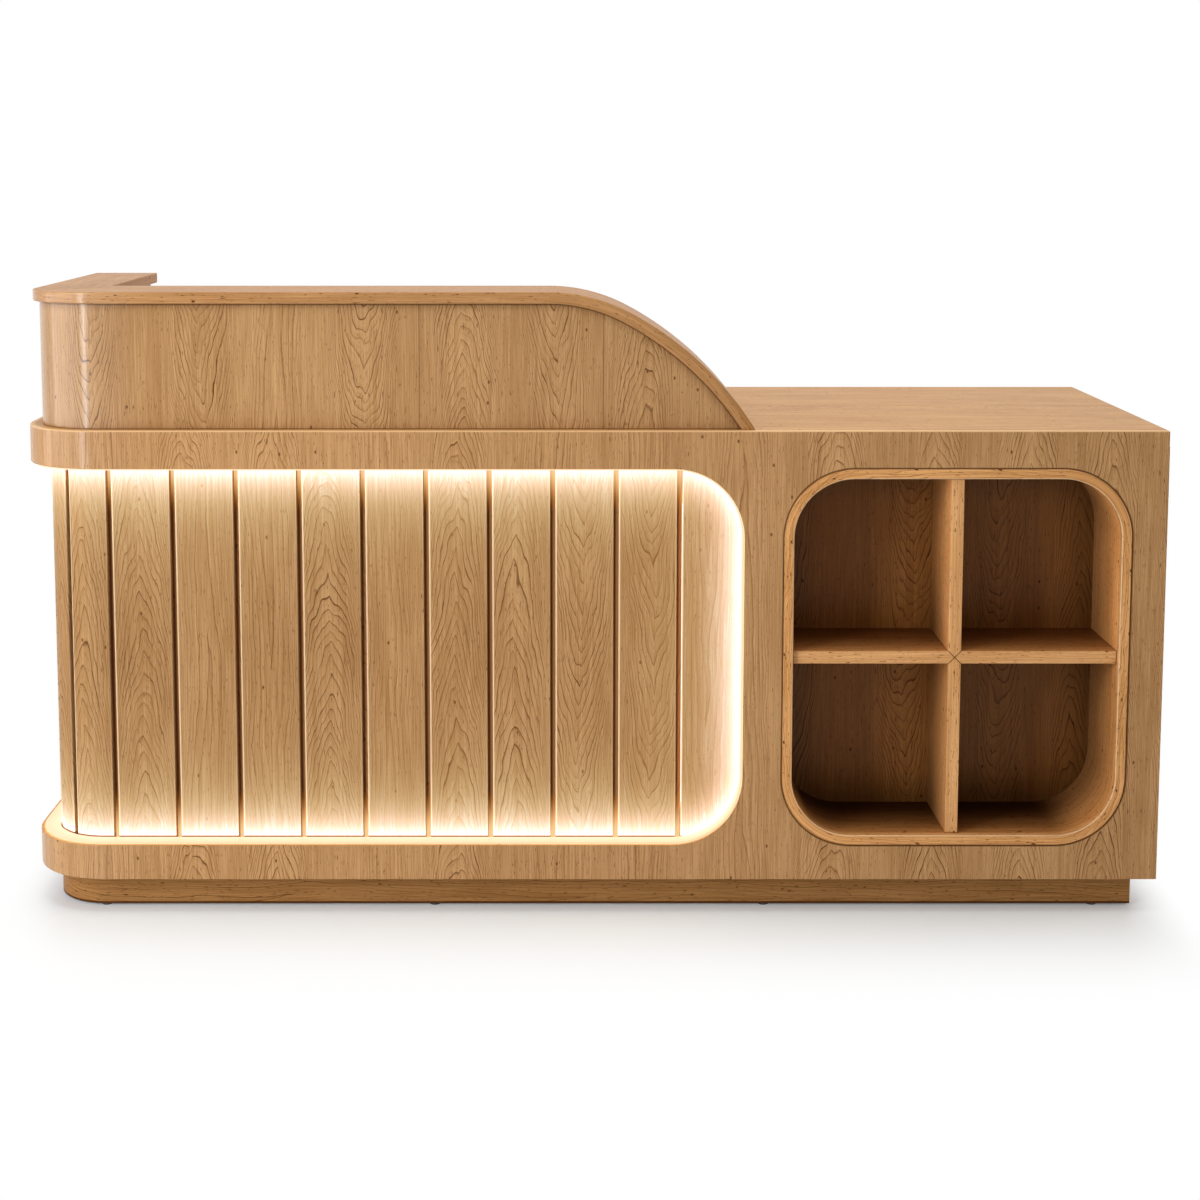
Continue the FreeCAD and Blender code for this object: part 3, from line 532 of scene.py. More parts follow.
def veneer(name, leaf_offset, tones=TONES, under_counter=False):
    """Veneer with upright grain on every standing face and lengthwise grain on level ones."""
    made, bench, shader = new_material(name, **GLOSS)
    where = bench.place(PANEL_RUN)
    x, y, run, height, flat = [where[label] for label in ("X", "Y", "Run", "Height", "Flat")]
    across, leaf = leaves(bench, run, LEAF_START, LEAF_WIDTH)
    figure = bench.place(
        WOOD_FIGURE, across=bench.choose(flat, across, y), place=bench.choose(flat, run, y),
        along=bench.choose(flat, height, x), straight=0.25,
        leaf=bench.choose(flat, leaf + leaf_offset, leaf_offset + LEVEL_LEAF), **tones)
    colour = figure["Colour"]
    if under_counter:
        # Seams between pairs of leaves, and painted shade at the joint with the worktop and under the
        # counter board.
        gap = bench.math("PINGPONG", run - LEAF_START, LEAF_WIDTH)
        seam = gap.fade(0.0004, 0.0016, 0.45) * (1.0 - flat) * (x > LEAF_START - LEAF_WIDTH)
        colour = bench.blend(seam, colour, tones["dark"])
        below = bench.place(SWEEP_LINE)["Below"]
        foot_shade = (height - WORKTOP_HIGH).fade(0.0004, 0.0020, 0.85)
        shade_under_counter = below.fade(0.0005, 0.0040, 0.6) + below.fade(0.0, 0.016, 0.3)
        colour = bench.blend(bench.largest(foot_shade, shade_under_counter), colour, tones["dark"])
    else:
        # A dark joint round the niche, and a painted highlight on the arris of the worktop at the corner.
        joint = outside_liner(bench, x, height).fade(0.0014, 0.0030, 0.8)
        joint = joint * y.fade(FASCIA_REAR_Y - 0.01, FASCIA_REAR_Y)
        colour = bench.blend(joint, colour, tones["dark"])
        outer = where["Reach"].rise(CORNER_RADIUS - 0.010, CORNER_RADIUS - 0.006, 0.0, 0.6)
        arris = height.rise(WORKTOP_HIGH - 0.0028, WORKTOP_HIGH - 0.0008) * outer
        colour = bench.blend(arris, colour, WORKTOP_ARRIS_HIGHLIGHT)
    # Level faces are painted lighter, standing in for the light from above.
    finish_wood(bench, shader, figure, bench.tint_and_shade(colour, bench.blend(flat, WHITE, LEVEL_FACE_LIGHT)))
    gloss = bend_gloss(where, flat_run=0.12, bend_more=0.85 if under_counter else 0.45)
    bench.feed(shader.inputs["Coat Weight"], gloss)
    return made


# The strip's light, painted on the wood: colours, and how far they reach in metres.
STRIP_LIT_GRAIN, GRAIN_REACH = (0.42, 0.20, 0.06, 1), 0.080
CLOSE_SPILL, CLOSE_REACH = (0.85, 1.12, 1.75, 1), 0.016
WIDE_SPILL, WIDE_REACH, RIGHT_END_REACH = (0.50, 0.61, 0.38, 1), 0.048, 0.032
DEEP_GLOW, NEAR_GLOW, GROOVE_REACH = (0.60, 0.20, 0.0, 1), (0.84, 0.57, 0.28, 1), 0.080
# The colour of the painted shade along the foot of the slats.
FOOT_SHADE_COLOUR = (0.16, 0.07, 0.025, 1)


def groove_glow(bench, outside):
    """Glow of the light strip in the grooves: its share, and its colour, which deepens further in."""
    share = outside.rise(-GROOVE_REACH, 0.0)
    return share, bench.blend(share, DEEP_GLOW, NEAR_GLOW)


def slat_wood():
    """Each slat is a board of its own, and the wood beside the light strip carries its spill as painted
    light.
    """
    made, bench, shader = new_material("slat board", **LACQUER, emission_strength=1.0)
    where = bench.place(PANEL_RUN)
    x, y, height, turn, outward = [where[label] for label in ("X", "Y", "Height", "Turn", "Outward")]
    on_side = on_return(where)
    on_corner = turn > 0.01

    def by_place(front, corner, side):
        return bench.choose(on_side, bench.choose(on_corner, front, corner), side)

    front_across, front_leaf = leaves(bench, x, RIGHT_GROOVE_X, SLAT_PITCH)
    corner_across, corner_leaf = leaves(bench, turn, 0.0, CORNER_SLAT_TURN)
    side_across, side_leaf = leaves(bench, y, FIRST_SIDE_GROOVE_Y, SLAT_PITCH)
    across = by_place(front_across, corner_across * -0.1, -side_across)
    leaf = by_place(front_leaf, -10.0 - corner_leaf, -13.0 - side_leaf)
    tones = tinted(0.90, 0.91, 0.90)
    figure = bench.place(
        WOOD_FIGURE, across=bench.choose(outward, x - DESK_LEFT, across), place=where["Run"], along=height,
        leaf=leaf + 40.0, ring=29.0, straight=0.25, **tones)

    # Beside the strip the grain lines go no darker than a golden tone: painted light of the strip.
    outside = outside_strip(bench, where)
    by_strip = outside.decay(1 / GRAIN_REACH)
    grain = bench.blend(by_strip, figure["Colour"], STRIP_LIT_GRAIN, "LIGHTEN")

    # Each slat has painted highlights on its arrises, the right one mostly beside the strip, and a line of
    # painted shade along its foot.
    outer = where["Reach"].rise(SLAT_RADIUS - 0.0030, SLAT_RADIUS - 0.0020)
    half_slat, half_turn, half_groove = SLAT_PITCH / 2, CORNER_SLAT_TURN / 2, GROOVE / 2
    corner_left = (half_turn - corner_across) * SLAT_RADIUS
    corner_right = (half_turn + corner_across) * SLAT_RADIUS
    from_left = by_place(front_across + half_slat, corner_left, half_slat - side_across) - half_groove
    from_right = by_place(half_slat - front_across, corner_right, side_across + half_slat) - half_groove
    colour = bench.blend(from_left.fade(0.0016, 0.0032, 0.7) * outer, grain, ARRIS_HIGHLIGHT)
    first_corner_slat = on_corner * (turn < half_turn)
    right_arris_highlight = (0.06 + by_strip * 0.50) * (1.0 - first_corner_slat)
    colour = bench.blend(from_right.fade(0.0014, 0.0034) * outer * right_arris_highlight, colour, ARRIS_HIGHLIGHT)
    foot_shade = height.fade(STRIP_LOW[2] + 0.0040, STRIP_LOW[2] + 0.0054) * outward
    colour = bench.blend(foot_shade, colour, FOOT_SHADE_COLOUR)

    # The slats are darker towards the corner and lighter towards the right end.
    colour = bench.tint_and_shade(colour, x.rise(CORNER_X, STRIP_HIGH[0], 0.91, 1.05))
    finish_wood(bench, shader, figure, colour)

    # The painted spill is white close to the strip and golden further off, and shorter at the right end.
    rate = x.rise(STRIP_HIGH[0] - 0.10, STRIP_HIGH[0] - 0.05, 1 / WIDE_REACH, 1 / RIGHT_END_REACH)
    spill = bench.blend(outside.decay(rate), BLACK, WIDE_SPILL)
    spill = bench.blend(outside.decay(1 / CLOSE_REACH), spill, CLOSE_SPILL)
    light_on_grain = bench.tint_and_shade(grain, tuple(1.2 / tone for tone in tones["pale"]))
    spill = bench.blend(0.75, spill, light_on_grain, "MULTIPLY")
    share, glow_colour = groove_glow(bench, outside)
    in_groove = (1.0 - outer) * y.fade(CORNER_Y + 0.40, CORNER_Y + 0.44)
    glow = bench.blend(share * in_groove, BLACK, glow_colour)
    lit = outward * outer * (1.0 - foot_shade)
    bench.feed(shader.inputs["Emission Color"], bench.blend(lit, glow, spill))
    return made


# The left side of each groove lies in shade, and its right side takes the light.
SHADED_STAIN, LIT_STAIN = (0.36, 0.24, 0.17, 1), (1.0, 0.82, 0.68, 1)
SHADED_GLOW, LIT_GLOW = (0.008, 0.003, 0.001, 1), (0.17, 0.08, 0.028, 1)


def backer_wood():
    """Backing board, stained dark on the face that shows in the grooves, with painted shade on the left of
    each groove, painted light on its right, and the strip's glow painted on it.
    """
    made, bench, shader = new_material("backing board", **LACQUER, emission_strength=1.0)
    where = bench.place(PANEL_RUN)
    across, leaf = leaves(bench, where["Run"], origin=0.0, width=0.24)
    figure = bench.place(
        WOOD_FIGURE, across=across, place=where["Run"], along=where["Height"], leaf=leaf + 300.0, **TONES)
    half_slat = SLAT_PITCH / 2
    from_front_groove, _ = leaves(bench, where["X"], RIGHT_GROOVE_X - half_slat, SLAT_PITCH)
    from_side_groove, _ = leaves(bench, where["Y"], FIRST_SIDE_GROOVE_Y - half_slat, SLAT_PITCH)
    from_groove = bench.choose(on_return(where), from_front_groove, -from_side_groove)
    right_side = from_groove.rise(-0.0022, 0.0018)
    tint_and_shade = bench.blend(where["Outward"], WHITE, bench.blend(right_side, SHADED_STAIN, LIT_STAIN))
    finish_wood(bench, shader, figure, bench.tint_and_shade(figure["Colour"], tint_and_shade))
    share, glow_colour = groove_glow(bench, outside_strip(bench, where))
    glow = bench.blend(share, bench.blend(right_side, SHADED_GLOW, LIT_GLOW), glow_colour)
    bench.feed(shader.inputs["Emission Color"], bench.blend(where["Outward"], BLACK, glow))
    return made


# Painted shade in the niche: the factor at the front, and what it darkens to on each kind of face further
# in.
NICHE_FRONT_SHADE = (0.92, 0.82, 0.70, 1)
NICHE_WALL_SHADE = (0.42, 0.34, 0.25, 1)
NICHE_LINER_SHADE = (0.46, 0.42, 0.38, 1)
NICHE_SHELF_SHADE = (0.21, 0.135, 0.070, 1)
NICHE_FLOOR_SHADE = (0.060, 0.037, 0.019, 1)
NICHE_EDGE_DEPTH, NICHE_DARK_DEPTH = 0.011, 0.150
CROSS_HALF_THICKNESS = 0.0102


def at_middle(value, middle, start, end):
    """A step from start to end at the middle of the niche."""
    return value.rise(middle - 0.01, middle + 0.01, start, end)


def niche_back_wood():
    """The niche's back, darkened as painted shade: its right half lies further from the light, and it
    darkens towards the liner.
    """
    made, bench, shader = new_material("niche back board", specular_ior_level=0.1)
    x, _, z = bench.on_part()
    across, leaf = leaves(bench, x, origin=0.282, width=0.15)
    figure = bench.place(
        WOOD_FIGURE, across=across, place=x, along=z, leaf=leaf + 26.0, straight=0.2, contrast=1.15,
        **tinted(0.56, 0.42, 0.24))
    shade = outside_liner(bench, x, z).rise(-LINER_WALL - 0.070, -LINER_WALL, 1.0, 0.62)
    shade = shade * at_middle(x, LINER_MIDDLE[0], 1.0, 0.88)
    finish_wood(bench, shader, figure, bench.tint_and_shade(figure["Colour"], shade))
    return made


def niche_wood(name, seed, grain, tones):
    """Boards of the niche, lit at their front edges and darkened further in by painted shade."""
    made, bench, shader = new_material(name, **LACQUER)
    x, y, z = bench.on_part()
    depth = y - LINER_LOW[1]
    level = bench.place(PANEL_RUN)["Flat"]
    across, along = (z, x) if grain == "level" else (x, z)
    wall_shade, level_shade = NICHE_WALL_SHADE, NICHE_SHELF_SHADE
    if grain == "liner":
        outline = outside_liner(bench, x, z)
        across, along = outline, x + z * 1.3
        wall_shade, level_shade = NICHE_LINER_SHADE, NICHE_FLOOR_SHADE
        # The right bend turns to the light, so the floor's painted shade ends there.
        bend = LINER_HIGH[0] - OPENING_RADIUS
        level = level * x.fade(bend, bend + 0.070)
    if grain == "upright":
        # The dividers' sides are painted darkest near the floor of each compartment, as shade.
        floor_z = bench.choose(z > LINER_MIDDLE[2], LINER_LOW[2], LINER_MIDDLE[2])
        wall_shade = bench.tint_and_shade(wall_shade, (z - floor_z).rise(0.0, 0.16, 0.45, 1.0))
    across = across + depth * 0.8
    figure = bench.place(
        WOOD_FIGURE, across=across, place=across, along=along, leaf=seed, ring=9.0, straight=1.0,
        contrast=1.5, **tones)
    # Painted shade: the boards darken further into the niche.
    wall_fall, level_fall = 0.7, 0.3
    deep = depth.rise(NICHE_EDGE_DEPTH, NICHE_DARK_DEPTH) ** bench.choose(level, wall_fall, level_fall)
    tint_and_shade = bench.blend(deep, NICHE_FRONT_SHADE, bench.blend(level, wall_shade, level_shade))
    # The walls of the upper compartment are painted lighter than those of the lower one.
    if grain != "level":
        tint_and_shade = bench.tint_and_shade(tint_and_shade, at_middle(z, LINER_MIDDLE[2], 1.0, 1.32))
    tint_and_shade = bench.blend(depth > NICHE_EDGE_DEPTH + 0.0005, WHITE, tint_and_shade)
    colour = bench.tint_and_shade(figure["Colour"], tint_and_shade)
    if grain == "liner":
        # The inner arris has a painted highlight.
        inner_arris_highlight = abs(outline + LINER_WALL).fade(0.0008, 0.0024, 0.45) * depth.fade(0.0016, 0.0026)
        colour = bench.blend(inner_arris_highlight, colour, ARRIS_HIGHLIGHT)
    else:
        # Dark joints where the four boards meet in mitres, and where they end at the liner.
        right, up = abs(x - LINER_MIDDLE[0]), abs(z - LINER_MIDDLE[2])
        at_cross = bench.largest(right, up) < CROSS_HALF_THICKNESS
        mitre = abs(right - up).fade(0.0006, 0.0016, 0.85) * at_cross
        end = bench.largest(right - NICHE_HALF_WIDTH, up - NICHE_HALF_HEIGHT)
        joint = bench.largest(mitre, end.rise(-0.0030, -0.0012, 0.0, 0.7))
        colour = bench.blend(joint, colour, tones["dark"])
    finish_wood(bench, shader, figure, colour)
    return made


BOARD = {"ring": 16.0, "contrast": 1.3}
COUNTER_TINT = (1.0, 1.04, 1.10, 1)


def sweep_wood():
    """The bent sweep board, with grain that follows its bend."""
    made, bench, shader = new_material("sweep board", **LACQUER)
    line = bench.place(SWEEP_LINE)
    across = line["Below"] + bench.on_part()[1]
    figure = bench.place(
        WOOD_FIGURE, across=across, place=across, along=line["Along"], leaf=5.0, straight=0.7,
        **BOARD, **EDGE_TONES)
    finish_wood(bench, shader, figure, figure["Colour"])
    return made


def lengthwise(name, seed, tones, straight=0.7, foot_shade_height=0.0, counter=False):
    """A board whose grain runs along it: along X on level faces, along its run on its edges."""
    made, bench, shader = new_material(name, **(GLOSS if counter else LACQUER))
    where = bench.place(PANEL_RUN)
    x, y, height, flat = [where[label] for label in ("X", "Y", "Height", "Flat")]
    level_across, level_along, leaf = y, x, seed
    if counter:
        # The L-shaped top is mitred at its corner, and its bend is glossy.
        turned = y - DESK_FRONT > x - DESK_LEFT
        level_across, level_along = bench.choose(turned, y, x), bench.choose(turned, x, y)
        leaf = turned + seed
        bench.feed(shader.inputs["Coat Weight"], bend_gloss(where, flat_run=0.0, bend_more=0.85))
    across = bench.choose(flat, height, level_across)
    figure = bench.place(
        WOOD_FIGURE, across=across, place=across, along=bench.choose(flat, where["Run"], level_along),
        leaf=leaf, straight=straight, **BOARD, **tones)
    colour = figure["Colour"]
    if counter:
        colour = bench.tint_and_shade(colour, bench.blend(flat, WHITE, COUNTER_TINT))
    # Painted shadow: a dark line along the foot of the board.
    if foot_shade_height:
        colour = bench.blend(height.fade(foot_shade_height, foot_shade_height + 0.0012, 0.92), colour, tones["dark"])
    finish_wood(bench, shader, figure, colour)
    return made


def strip_diffuser():
    """The light strip, which lights the wood more strongly than it looks itself."""
    made, bench, shader = new_material("light diffuser", base_color=(0.30, 0.22, 0.14, 1), roughness=0.5)
    away = bench.place(PANEL_RUN)["Reach"].rise(SLAT_RADIUS, CORNER_Y - STRIP_LOW[1])
    glow = bench.blend(away, (1.0, 0.82, 0.56, 1), (0.92, 0.69, 0.43, 1))
    bench.feed(shader.inputs["Emission Color"], glow)
    seen = bench.node("ShaderNodeLightPath").outputs["Is Camera Ray"]
    light_given, look = 4.5, 0.8
    bench.feed(shader.inputs["Emission Strength"], bench.choose(seen, light_given, look))
    return made


def mottled(name, light, dark, roughness, relief, metallic=0.0, **mottle):
    """Metal or plastic whose tone and roughness vary over its surface."""
    made, bench, shader = new_material(name, metallic=metallic)
    figure = bench.place(MOTTLE, **mottle)
    bench.feed(shader.inputs["Base Color"], bench.blend(figure["Tone"], dark, light))
    bench.feed(shader.inputs["Roughness"], figure["Tone"].rise(0.0, 1.0, *roughness))
    bench.bump(shader, figure["Height"], strength=0.4, relief=relief)
    return made


veneer_front = veneer("fascia veneer", leaf_offset=10.0)
veneer_upper = veneer(
    "upper panel veneer", leaf_offset=70.0, tones=tinted(0.94, 0.96, 0.96), under_counter=True)
wood_backer = backer_wood()
MATERIALS = {
    "front_veneer": veneer_front,
    "slat_wood": slat_wood(),
    "top_wood": lengthwise("counter board", seed=5.0, tones=EDGE_TONES, counter=True),
    "niche_wood": niche_wood("niche liner", seed=14.0, grain="liner", tones=tinted(1.40, 1.28, 1.12)),
    # The plinth rails are darkened as painted shade under the band, with a line of painted shadow along
    # their foot.
    "plinth_wood": lengthwise(
        "plinth rail", seed=9.0, tones=tinted(0.69, 0.61, 0.475), foot_shade_height=PLINTH_LOW[2] + 0.0030),
    "carcass_wood": veneer_front,
    "door_wood": veneer_front,
    "drawer_wood": lengthwise("drawer board", seed=31.0, tones=tinted(1.22, 1.26, 1.40), straight=0.4),
    "light_diffuser": strip_diffuser(),
    "runner_steel": mottled(
        "zinc steel", (0.56, 0.57, 0.58, 1), (0.40, 0.41, 0.42, 1), roughness=(0.44, 0.28), relief=0.00002,
        metallic=1.0, cloud_size=0.018, grain_size=0.0005, stretch=60.0),
    "driver_case": mottled(
        "driver case", (0.83, 0.83, 0.80, 1), (0.68, 0.68, 0.66, 1), roughness=(0.40, 0.54), relief=0.00005,
        cloud_size=0.03, grain_size=0.0007),
    "dark_plastic": mottled(
        "black plastic", (0.050, 0.050, 0.052, 1), (0.022, 0.022, 0.024, 1), roughness=(0.60, 0.40),
        relief=0.00004, cloud_size=0.02, grain_size=0.0004),
}
# Nodes whose board differs from the rest of their slot, by the start of their name.
OWN_BOARDS = {
    "worktop": veneer_front, "counter_sweep": sweep_wood(), "niche_back": niche_back_wood(),
    "front_backer": wood_backer, "corner_backer": wood_backer, "side_backer": wood_backer,
    "niche_shelf": niche_wood("niche shelf", seed=17.0, grain="level", tones=CROSS_TONES),
    "niche_divider": niche_wood("niche divider", seed=21.0, grain="upright", tones=CROSS_TONES),
}


def material_for(name):
    for start, board in OWN_BOARDS.items():
        if name.startswith(start):
            return board
    if name.startswith("counter_") and slot_of[name] == "front_veneer":
        return veneer_upper
    return MATERIALS[slot_of[name]]


for name, node in nodes.items():
    node.data.materials.clear()
    node.data.materials.append(material_for(name))


# Rounded arrises: each rule says whether the edge from a to b is rounded

SMOOTH_ANGLE = math.radians(35)
SHARP_ANGLE = math.radians(30)
FLAT_ANGLE = math.radians(0.5)
BEVEL_STEPS = 3
X, Y, Z = range(3)


def near(a, b):
    return abs(a - b) < 0.2 * MILLIMETRE


def both(axis, *values):
    """A rule for edges that lie at one of these values of an axis."""

    def rule(a, b):
        return any(near(a[axis], value) and near(b[axis], value) for value in values)

    return rule


def standing(a, b):
    return near(a.x, b.x) and near(a.y, b.y)


def from_corner_axis(point):
    return (point.xy - Vector((CORNER_X, CORNER_Y))).length


def fascia_arris(a, b):
    joint = both(Z, WORKTOP_LOW)(a, b) or both(X, CORNER_X)(a, b)
    return both(Y, DESK_FRONT)(a, b) and not joint


def side_arris(a, b):
    joint = both(Z, WORKTOP_LOW)(a, b) or both(Y, CORNER_Y)(a, b)
    return both(X, DESK_LEFT)(a, b) and not joint


def rail_arris(a, b):
    outer = all(near(from_corner_axis(point), CORNER_RADIUS) for point in (a, b))
    return outer and not standing(a, b) and not both(Z, WORKTOP_LOW)(a, b)


def worktop_arris(a, b):
    return both(Z, WORKTOP_HIGH)(a, b) or standing(a, b)


def slat_arris(a, b):
    def outer(point):
        if point.y < CORNER_Y - 0.1 * MILLIMETRE and point.x < CORNER_X - 0.1 * MILLIMETRE:
            return near(from_corner_axis(point), SLAT_RADIUS)
        return near(point.y, SLAT_FACE) or near(point.x, DESK_LEFT + SLAT_FACE - DESK_FRONT)

    return standing(a, b) and outer(a) and outer(b)


def counter_arris(a, b):
    return both(Z, COUNTER_LOW[2], COUNTER_HIGH[2])(a, b) and not both(X, COUNTER_HIGH[0])(a, b)


def sweep_arris(a, b):
    low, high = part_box("counter_sweep")
    return both(Y, low[1], high[1])(a, b) and not standing(a, b) and not both(Z, low[2])(a, b)


def every(a, b):
    return True


def never(a, b):
    """For pieces that are only shaded smooth."""
    return False


def rear_of(name):
    return both(Y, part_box(name)[1][1])


def top_of(name):
    return both(Z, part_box(name)[1][2])


# Width of each rounding in millimetres, its rule, and the nodes that it is for.
ROUNDINGS = (
    (2.2, worktop_arris, ("worktop",)),
    (1.5, fascia_arris, ("front_fascia",)),
    (1.5, side_arris, ("side_fascia",)),
    (1.5, rail_arris, ("corner_rails",)),
    (2.0, slat_arris, ("return_slats",)),
    (2.0, counter_arris, ("counter_top",)),
    (2.0, sweep_arris, ("counter_sweep",)),
    (1.0, never, ("counter_corner_panel", "plinth_corner_bend")),
    (1.8, both(Y, DESK_FRONT), ("niche_liner",)),
    (1.5, both(Y, STAFF_FACE), ("left_door", "right_door", "drawer_front")),
    (1.0, both(Y, STAFF_FACE), ("inner_side_panel", "right_side_panel")),
    (1.0, rear_of("cabinet_rail"), ("cabinet_rail",)),
    (1.0, rear_of("cupboard_shelf"), ("cupboard_shelf",)),
    (1.5, top_of("drawer_sides"), ("drawer_sides",)),
    (1.5, top_of("drawer_back"), ("drawer_back",)),
    (1.0, rear_of("counter_end_panel"), ("counter_end_panel",)),
    (1.5, every, ("led_driver",)),
    (0.4, every, ("driver_gland",)),
    (0.5, every, ("switch_housing", "switch_rocker")),
    (0.3, never, ("door_pivots", "shelf_pins", "floor_glides")),
)
EASED = {name: (width, rule) for width, rule, names in ROUNDINGS for name in names}
for name in nodes:
    if name.startswith("front_slat_"):
        EASED[name] = (2.0, slat_arris)
    if name.startswith(("niche_shelf_", "niche_divider_")):
        EASED[name] = (1.0, both(Y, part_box(name)[0][1]))


def eased(name, width, rule):
    """A copy of a node with the arrises that its rule picks rounded, which stands for the node."""
    node = nodes[name]
    piece = bpy.data.objects.new(f"{name}_eased", node.data.copy())
    scene.collection.objects.link(piece)
    bpy.ops.object.select_all(action="DESELECT")
    piece.select_set(True)
    bpy.context.view_layer.objects.active = piece
    bpy.ops.mesh.customdata_custom_splitnormals_clear()
    bpy.ops.object.mode_set(mode="EDIT")
    bpy.ops.mesh.select_mode(type="EDGE")
    bpy.ops.mesh.select_all(action="SELECT")
    bpy.ops.mesh.remove_doubles(threshold=0.01 * MILLIMETRE)
    bpy.ops.mesh.dissolve_limited(angle_limit=FLAT_ANGLE)
    bpy.ops.mesh.select_all(action="DESELECT")
    shell = bmesh.from_edit_mesh(piece.data)
    picked = 0
    for edge in shell.edges:
        sharp = len(edge.link_faces) == 2 and edge.calc_face_angle() > SHARP_ANGLE
        if sharp and rule(edge.verts[0].co, edge.verts[1].co):
            edge.select_set(True)
            picked += 1
    bmesh.update_edit_mesh(piece.data)
    if picked:
        bpy.ops.mesh.bevel(offset=width, segments=BEVEL_STEPS, affect="EDGES", clamp_overlap=True)
    bpy.ops.object.mode_set(mode="OBJECT")
    bpy.ops.object.shade_smooth_by_angle(angle=SMOOTH_ANGLE)
    normals = piece.modifiers.new("even normals", "WEIGHTED_NORMAL")
    normals.keep_sharp = True
    bpy.ops.object.modifier_apply(modifier=normals.name)
    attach(piece, node["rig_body"])
    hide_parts(name)


for name, (width, rule) in EASED.items():
    eased(name, width * MILLIMETRE, rule)


# Fittings on the staff side, in millimetres: one of each is modelled, and copies of it are set out

masters, fitted = [], []


def pick_faces_up():
    """Selects, in edit mode, the faces of the active piece that face up."""
    bpy.ops.mesh.select_mode(type="FACE")
    bpy.ops.mesh.select_all(action="DESELECT")
    mesh = bpy.context.object.data
    for face in bmesh.from_edit_mesh(mesh).faces:
        face.select_set(face.normal.z > 0.99)
    bmesh.update_edit_mesh(mesh)


def sink(rim, depth):
    """Insets the top face by a rim and sinks its middle."""
    pick_faces_up()
    bpy.ops.mesh.inset(thickness=rim * MILLIMETRE)
    bpy.ops.mesh.extrude_region_move(TRANSFORM_OT_translate={"value": (0, 0, -depth * MILLIMETRE)})


def finish_fitting(name, slot):
    """Leaves edit mode, names the fitting, and gives it its slot and that slot's material."""
    bpy.ops.object.mode_set(mode="OBJECT")
    bpy.ops.object.transform_apply(location=True, rotation=True, scale=True)
    bpy.ops.object.shade_smooth_by_angle(angle=SMOOTH_ANGLE)
    piece = bpy.context.object
    piece.name = name
    piece.data.materials.append(MATERIALS[slot])
    piece["slot"] = slot
    masters.append(piece)
    return piece


def round_fitting(name, slot, radius, height, easing, rim, depth, sides=32):
    """A turned fitting that stands on the level plane: its top edge is eased and its middle sunk."""
    bpy.ops.object.select_all(action="DESELECT")
    bpy.ops.mesh.primitive_cylinder_add(
        vertices=sides, radius=radius * MILLIMETRE, depth=height * MILLIMETRE,
        location=(0, 0, height * MILLIMETRE / 2))
    bpy.ops.object.mode_set(mode="EDIT")
    pick_faces_up()
    bpy.ops.mesh.bevel(offset=easing * MILLIMETRE, segments=BEVEL_STEPS, affect="EDGES")
    sink(rim, depth)
    return finish_fitting(name, slot)


def block_fitting(name, slot, length, width, height, easing, rim=0.0, depth=0.0):
    """A block that stands on the level plane, its edges eased and, where it has a rim, its top sunk."""
    bpy.ops.object.select_all(action="DESELECT")
    bpy.ops.mesh.primitive_cube_add(size=1, location=(0, 0, height * MILLIMETRE / 2))
    bpy.context.object.scale = [size * MILLIMETRE for size in (length, width, height)]
    bpy.ops.object.transform_apply(location=True, rotation=True, scale=True)
    bpy.ops.object.mode_set(mode="EDIT")
    bpy.ops.mesh.select_all(action="SELECT")
    bpy.ops.mesh.bevel(offset=easing * MILLIMETRE, segments=BEVEL_STEPS, affect="EDGES")
    if rim:
        sink(rim, depth)
    return finish_fitting(name, slot)


def set_out(master, places, facing, body="frame"):
    """Puts a copy of a fitting at each place, turned to face a direction."""
    turn = Vector(facing).to_track_quat("Z", "Y").to_matrix().to_4x4()
    for place in places:
        piece = bpy.data.objects.new(master.name, master.data.copy())
        piece.name = f"{master.name}_{len(fitted) + 1:02d}"
        piece.data.transform(Matrix.Translation(Vector(place) * MILLIMETRE) @ turn)
        scene.collection.objects.link(piece)
        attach(piece, body)
        fitted.append(piece)


def corners(name):
    """A node's lowest and highest corners, and its middle, in millimetres."""
    low, high = [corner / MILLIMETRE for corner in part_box(name)]
    return low, high, (low + high) / 2


RIGHT, LEFT, REAR, FRONT, DOWN = (1, 0, 0), (-1, 0, 0), (0, 1, 0), (0, -1, 0), (0, 0, -1)


def add_cover_caps():
    """Caps over the screws that hold the cabinet rail, on the knee side of the inner panel."""
    level = corners("cabinet_rail")[2][2]
    knee_face = corners("inner_side_panel")[0][0]
    cap = round_fitting("cover_cap", "dark_plastic", radius=6.0, height=1.4, easing=0.7, rim=1.6, depth=0.3)
    set_out(cap, [(knee_face, y, level) for y in (-60.0, 90.0, 240.0)], LEFT)


def add_shelf_sleeves():
    """Sleeves for the other heights of the shelf, above and below its pins."""
    sleeve = round_fitting(
        "shelf_sleeve", "dark_plastic", radius=4.5, height=0.9, easing=0.4, rim=1.4, depth=0.8)
    low, high, middle = corners("shelf_pins")
    pin_radius, hole_pitch = middle[2] - low[2], 32.0
    columns = (low[1] + pin_radius, high[1] - pin_radius)
    heights = [middle[2] + hole_pitch * step for step in (-3, -2, -1, 1, 2, 3)]
    left_face, right_face = corners("inner_side_panel")[1][0], corners("right_side_panel")[0][0]
    for face, facing in ((left_face, RIGHT), (right_face, LEFT)):
        set_out(sleeve, [(face, y, z) for y in columns for z in heights], facing)


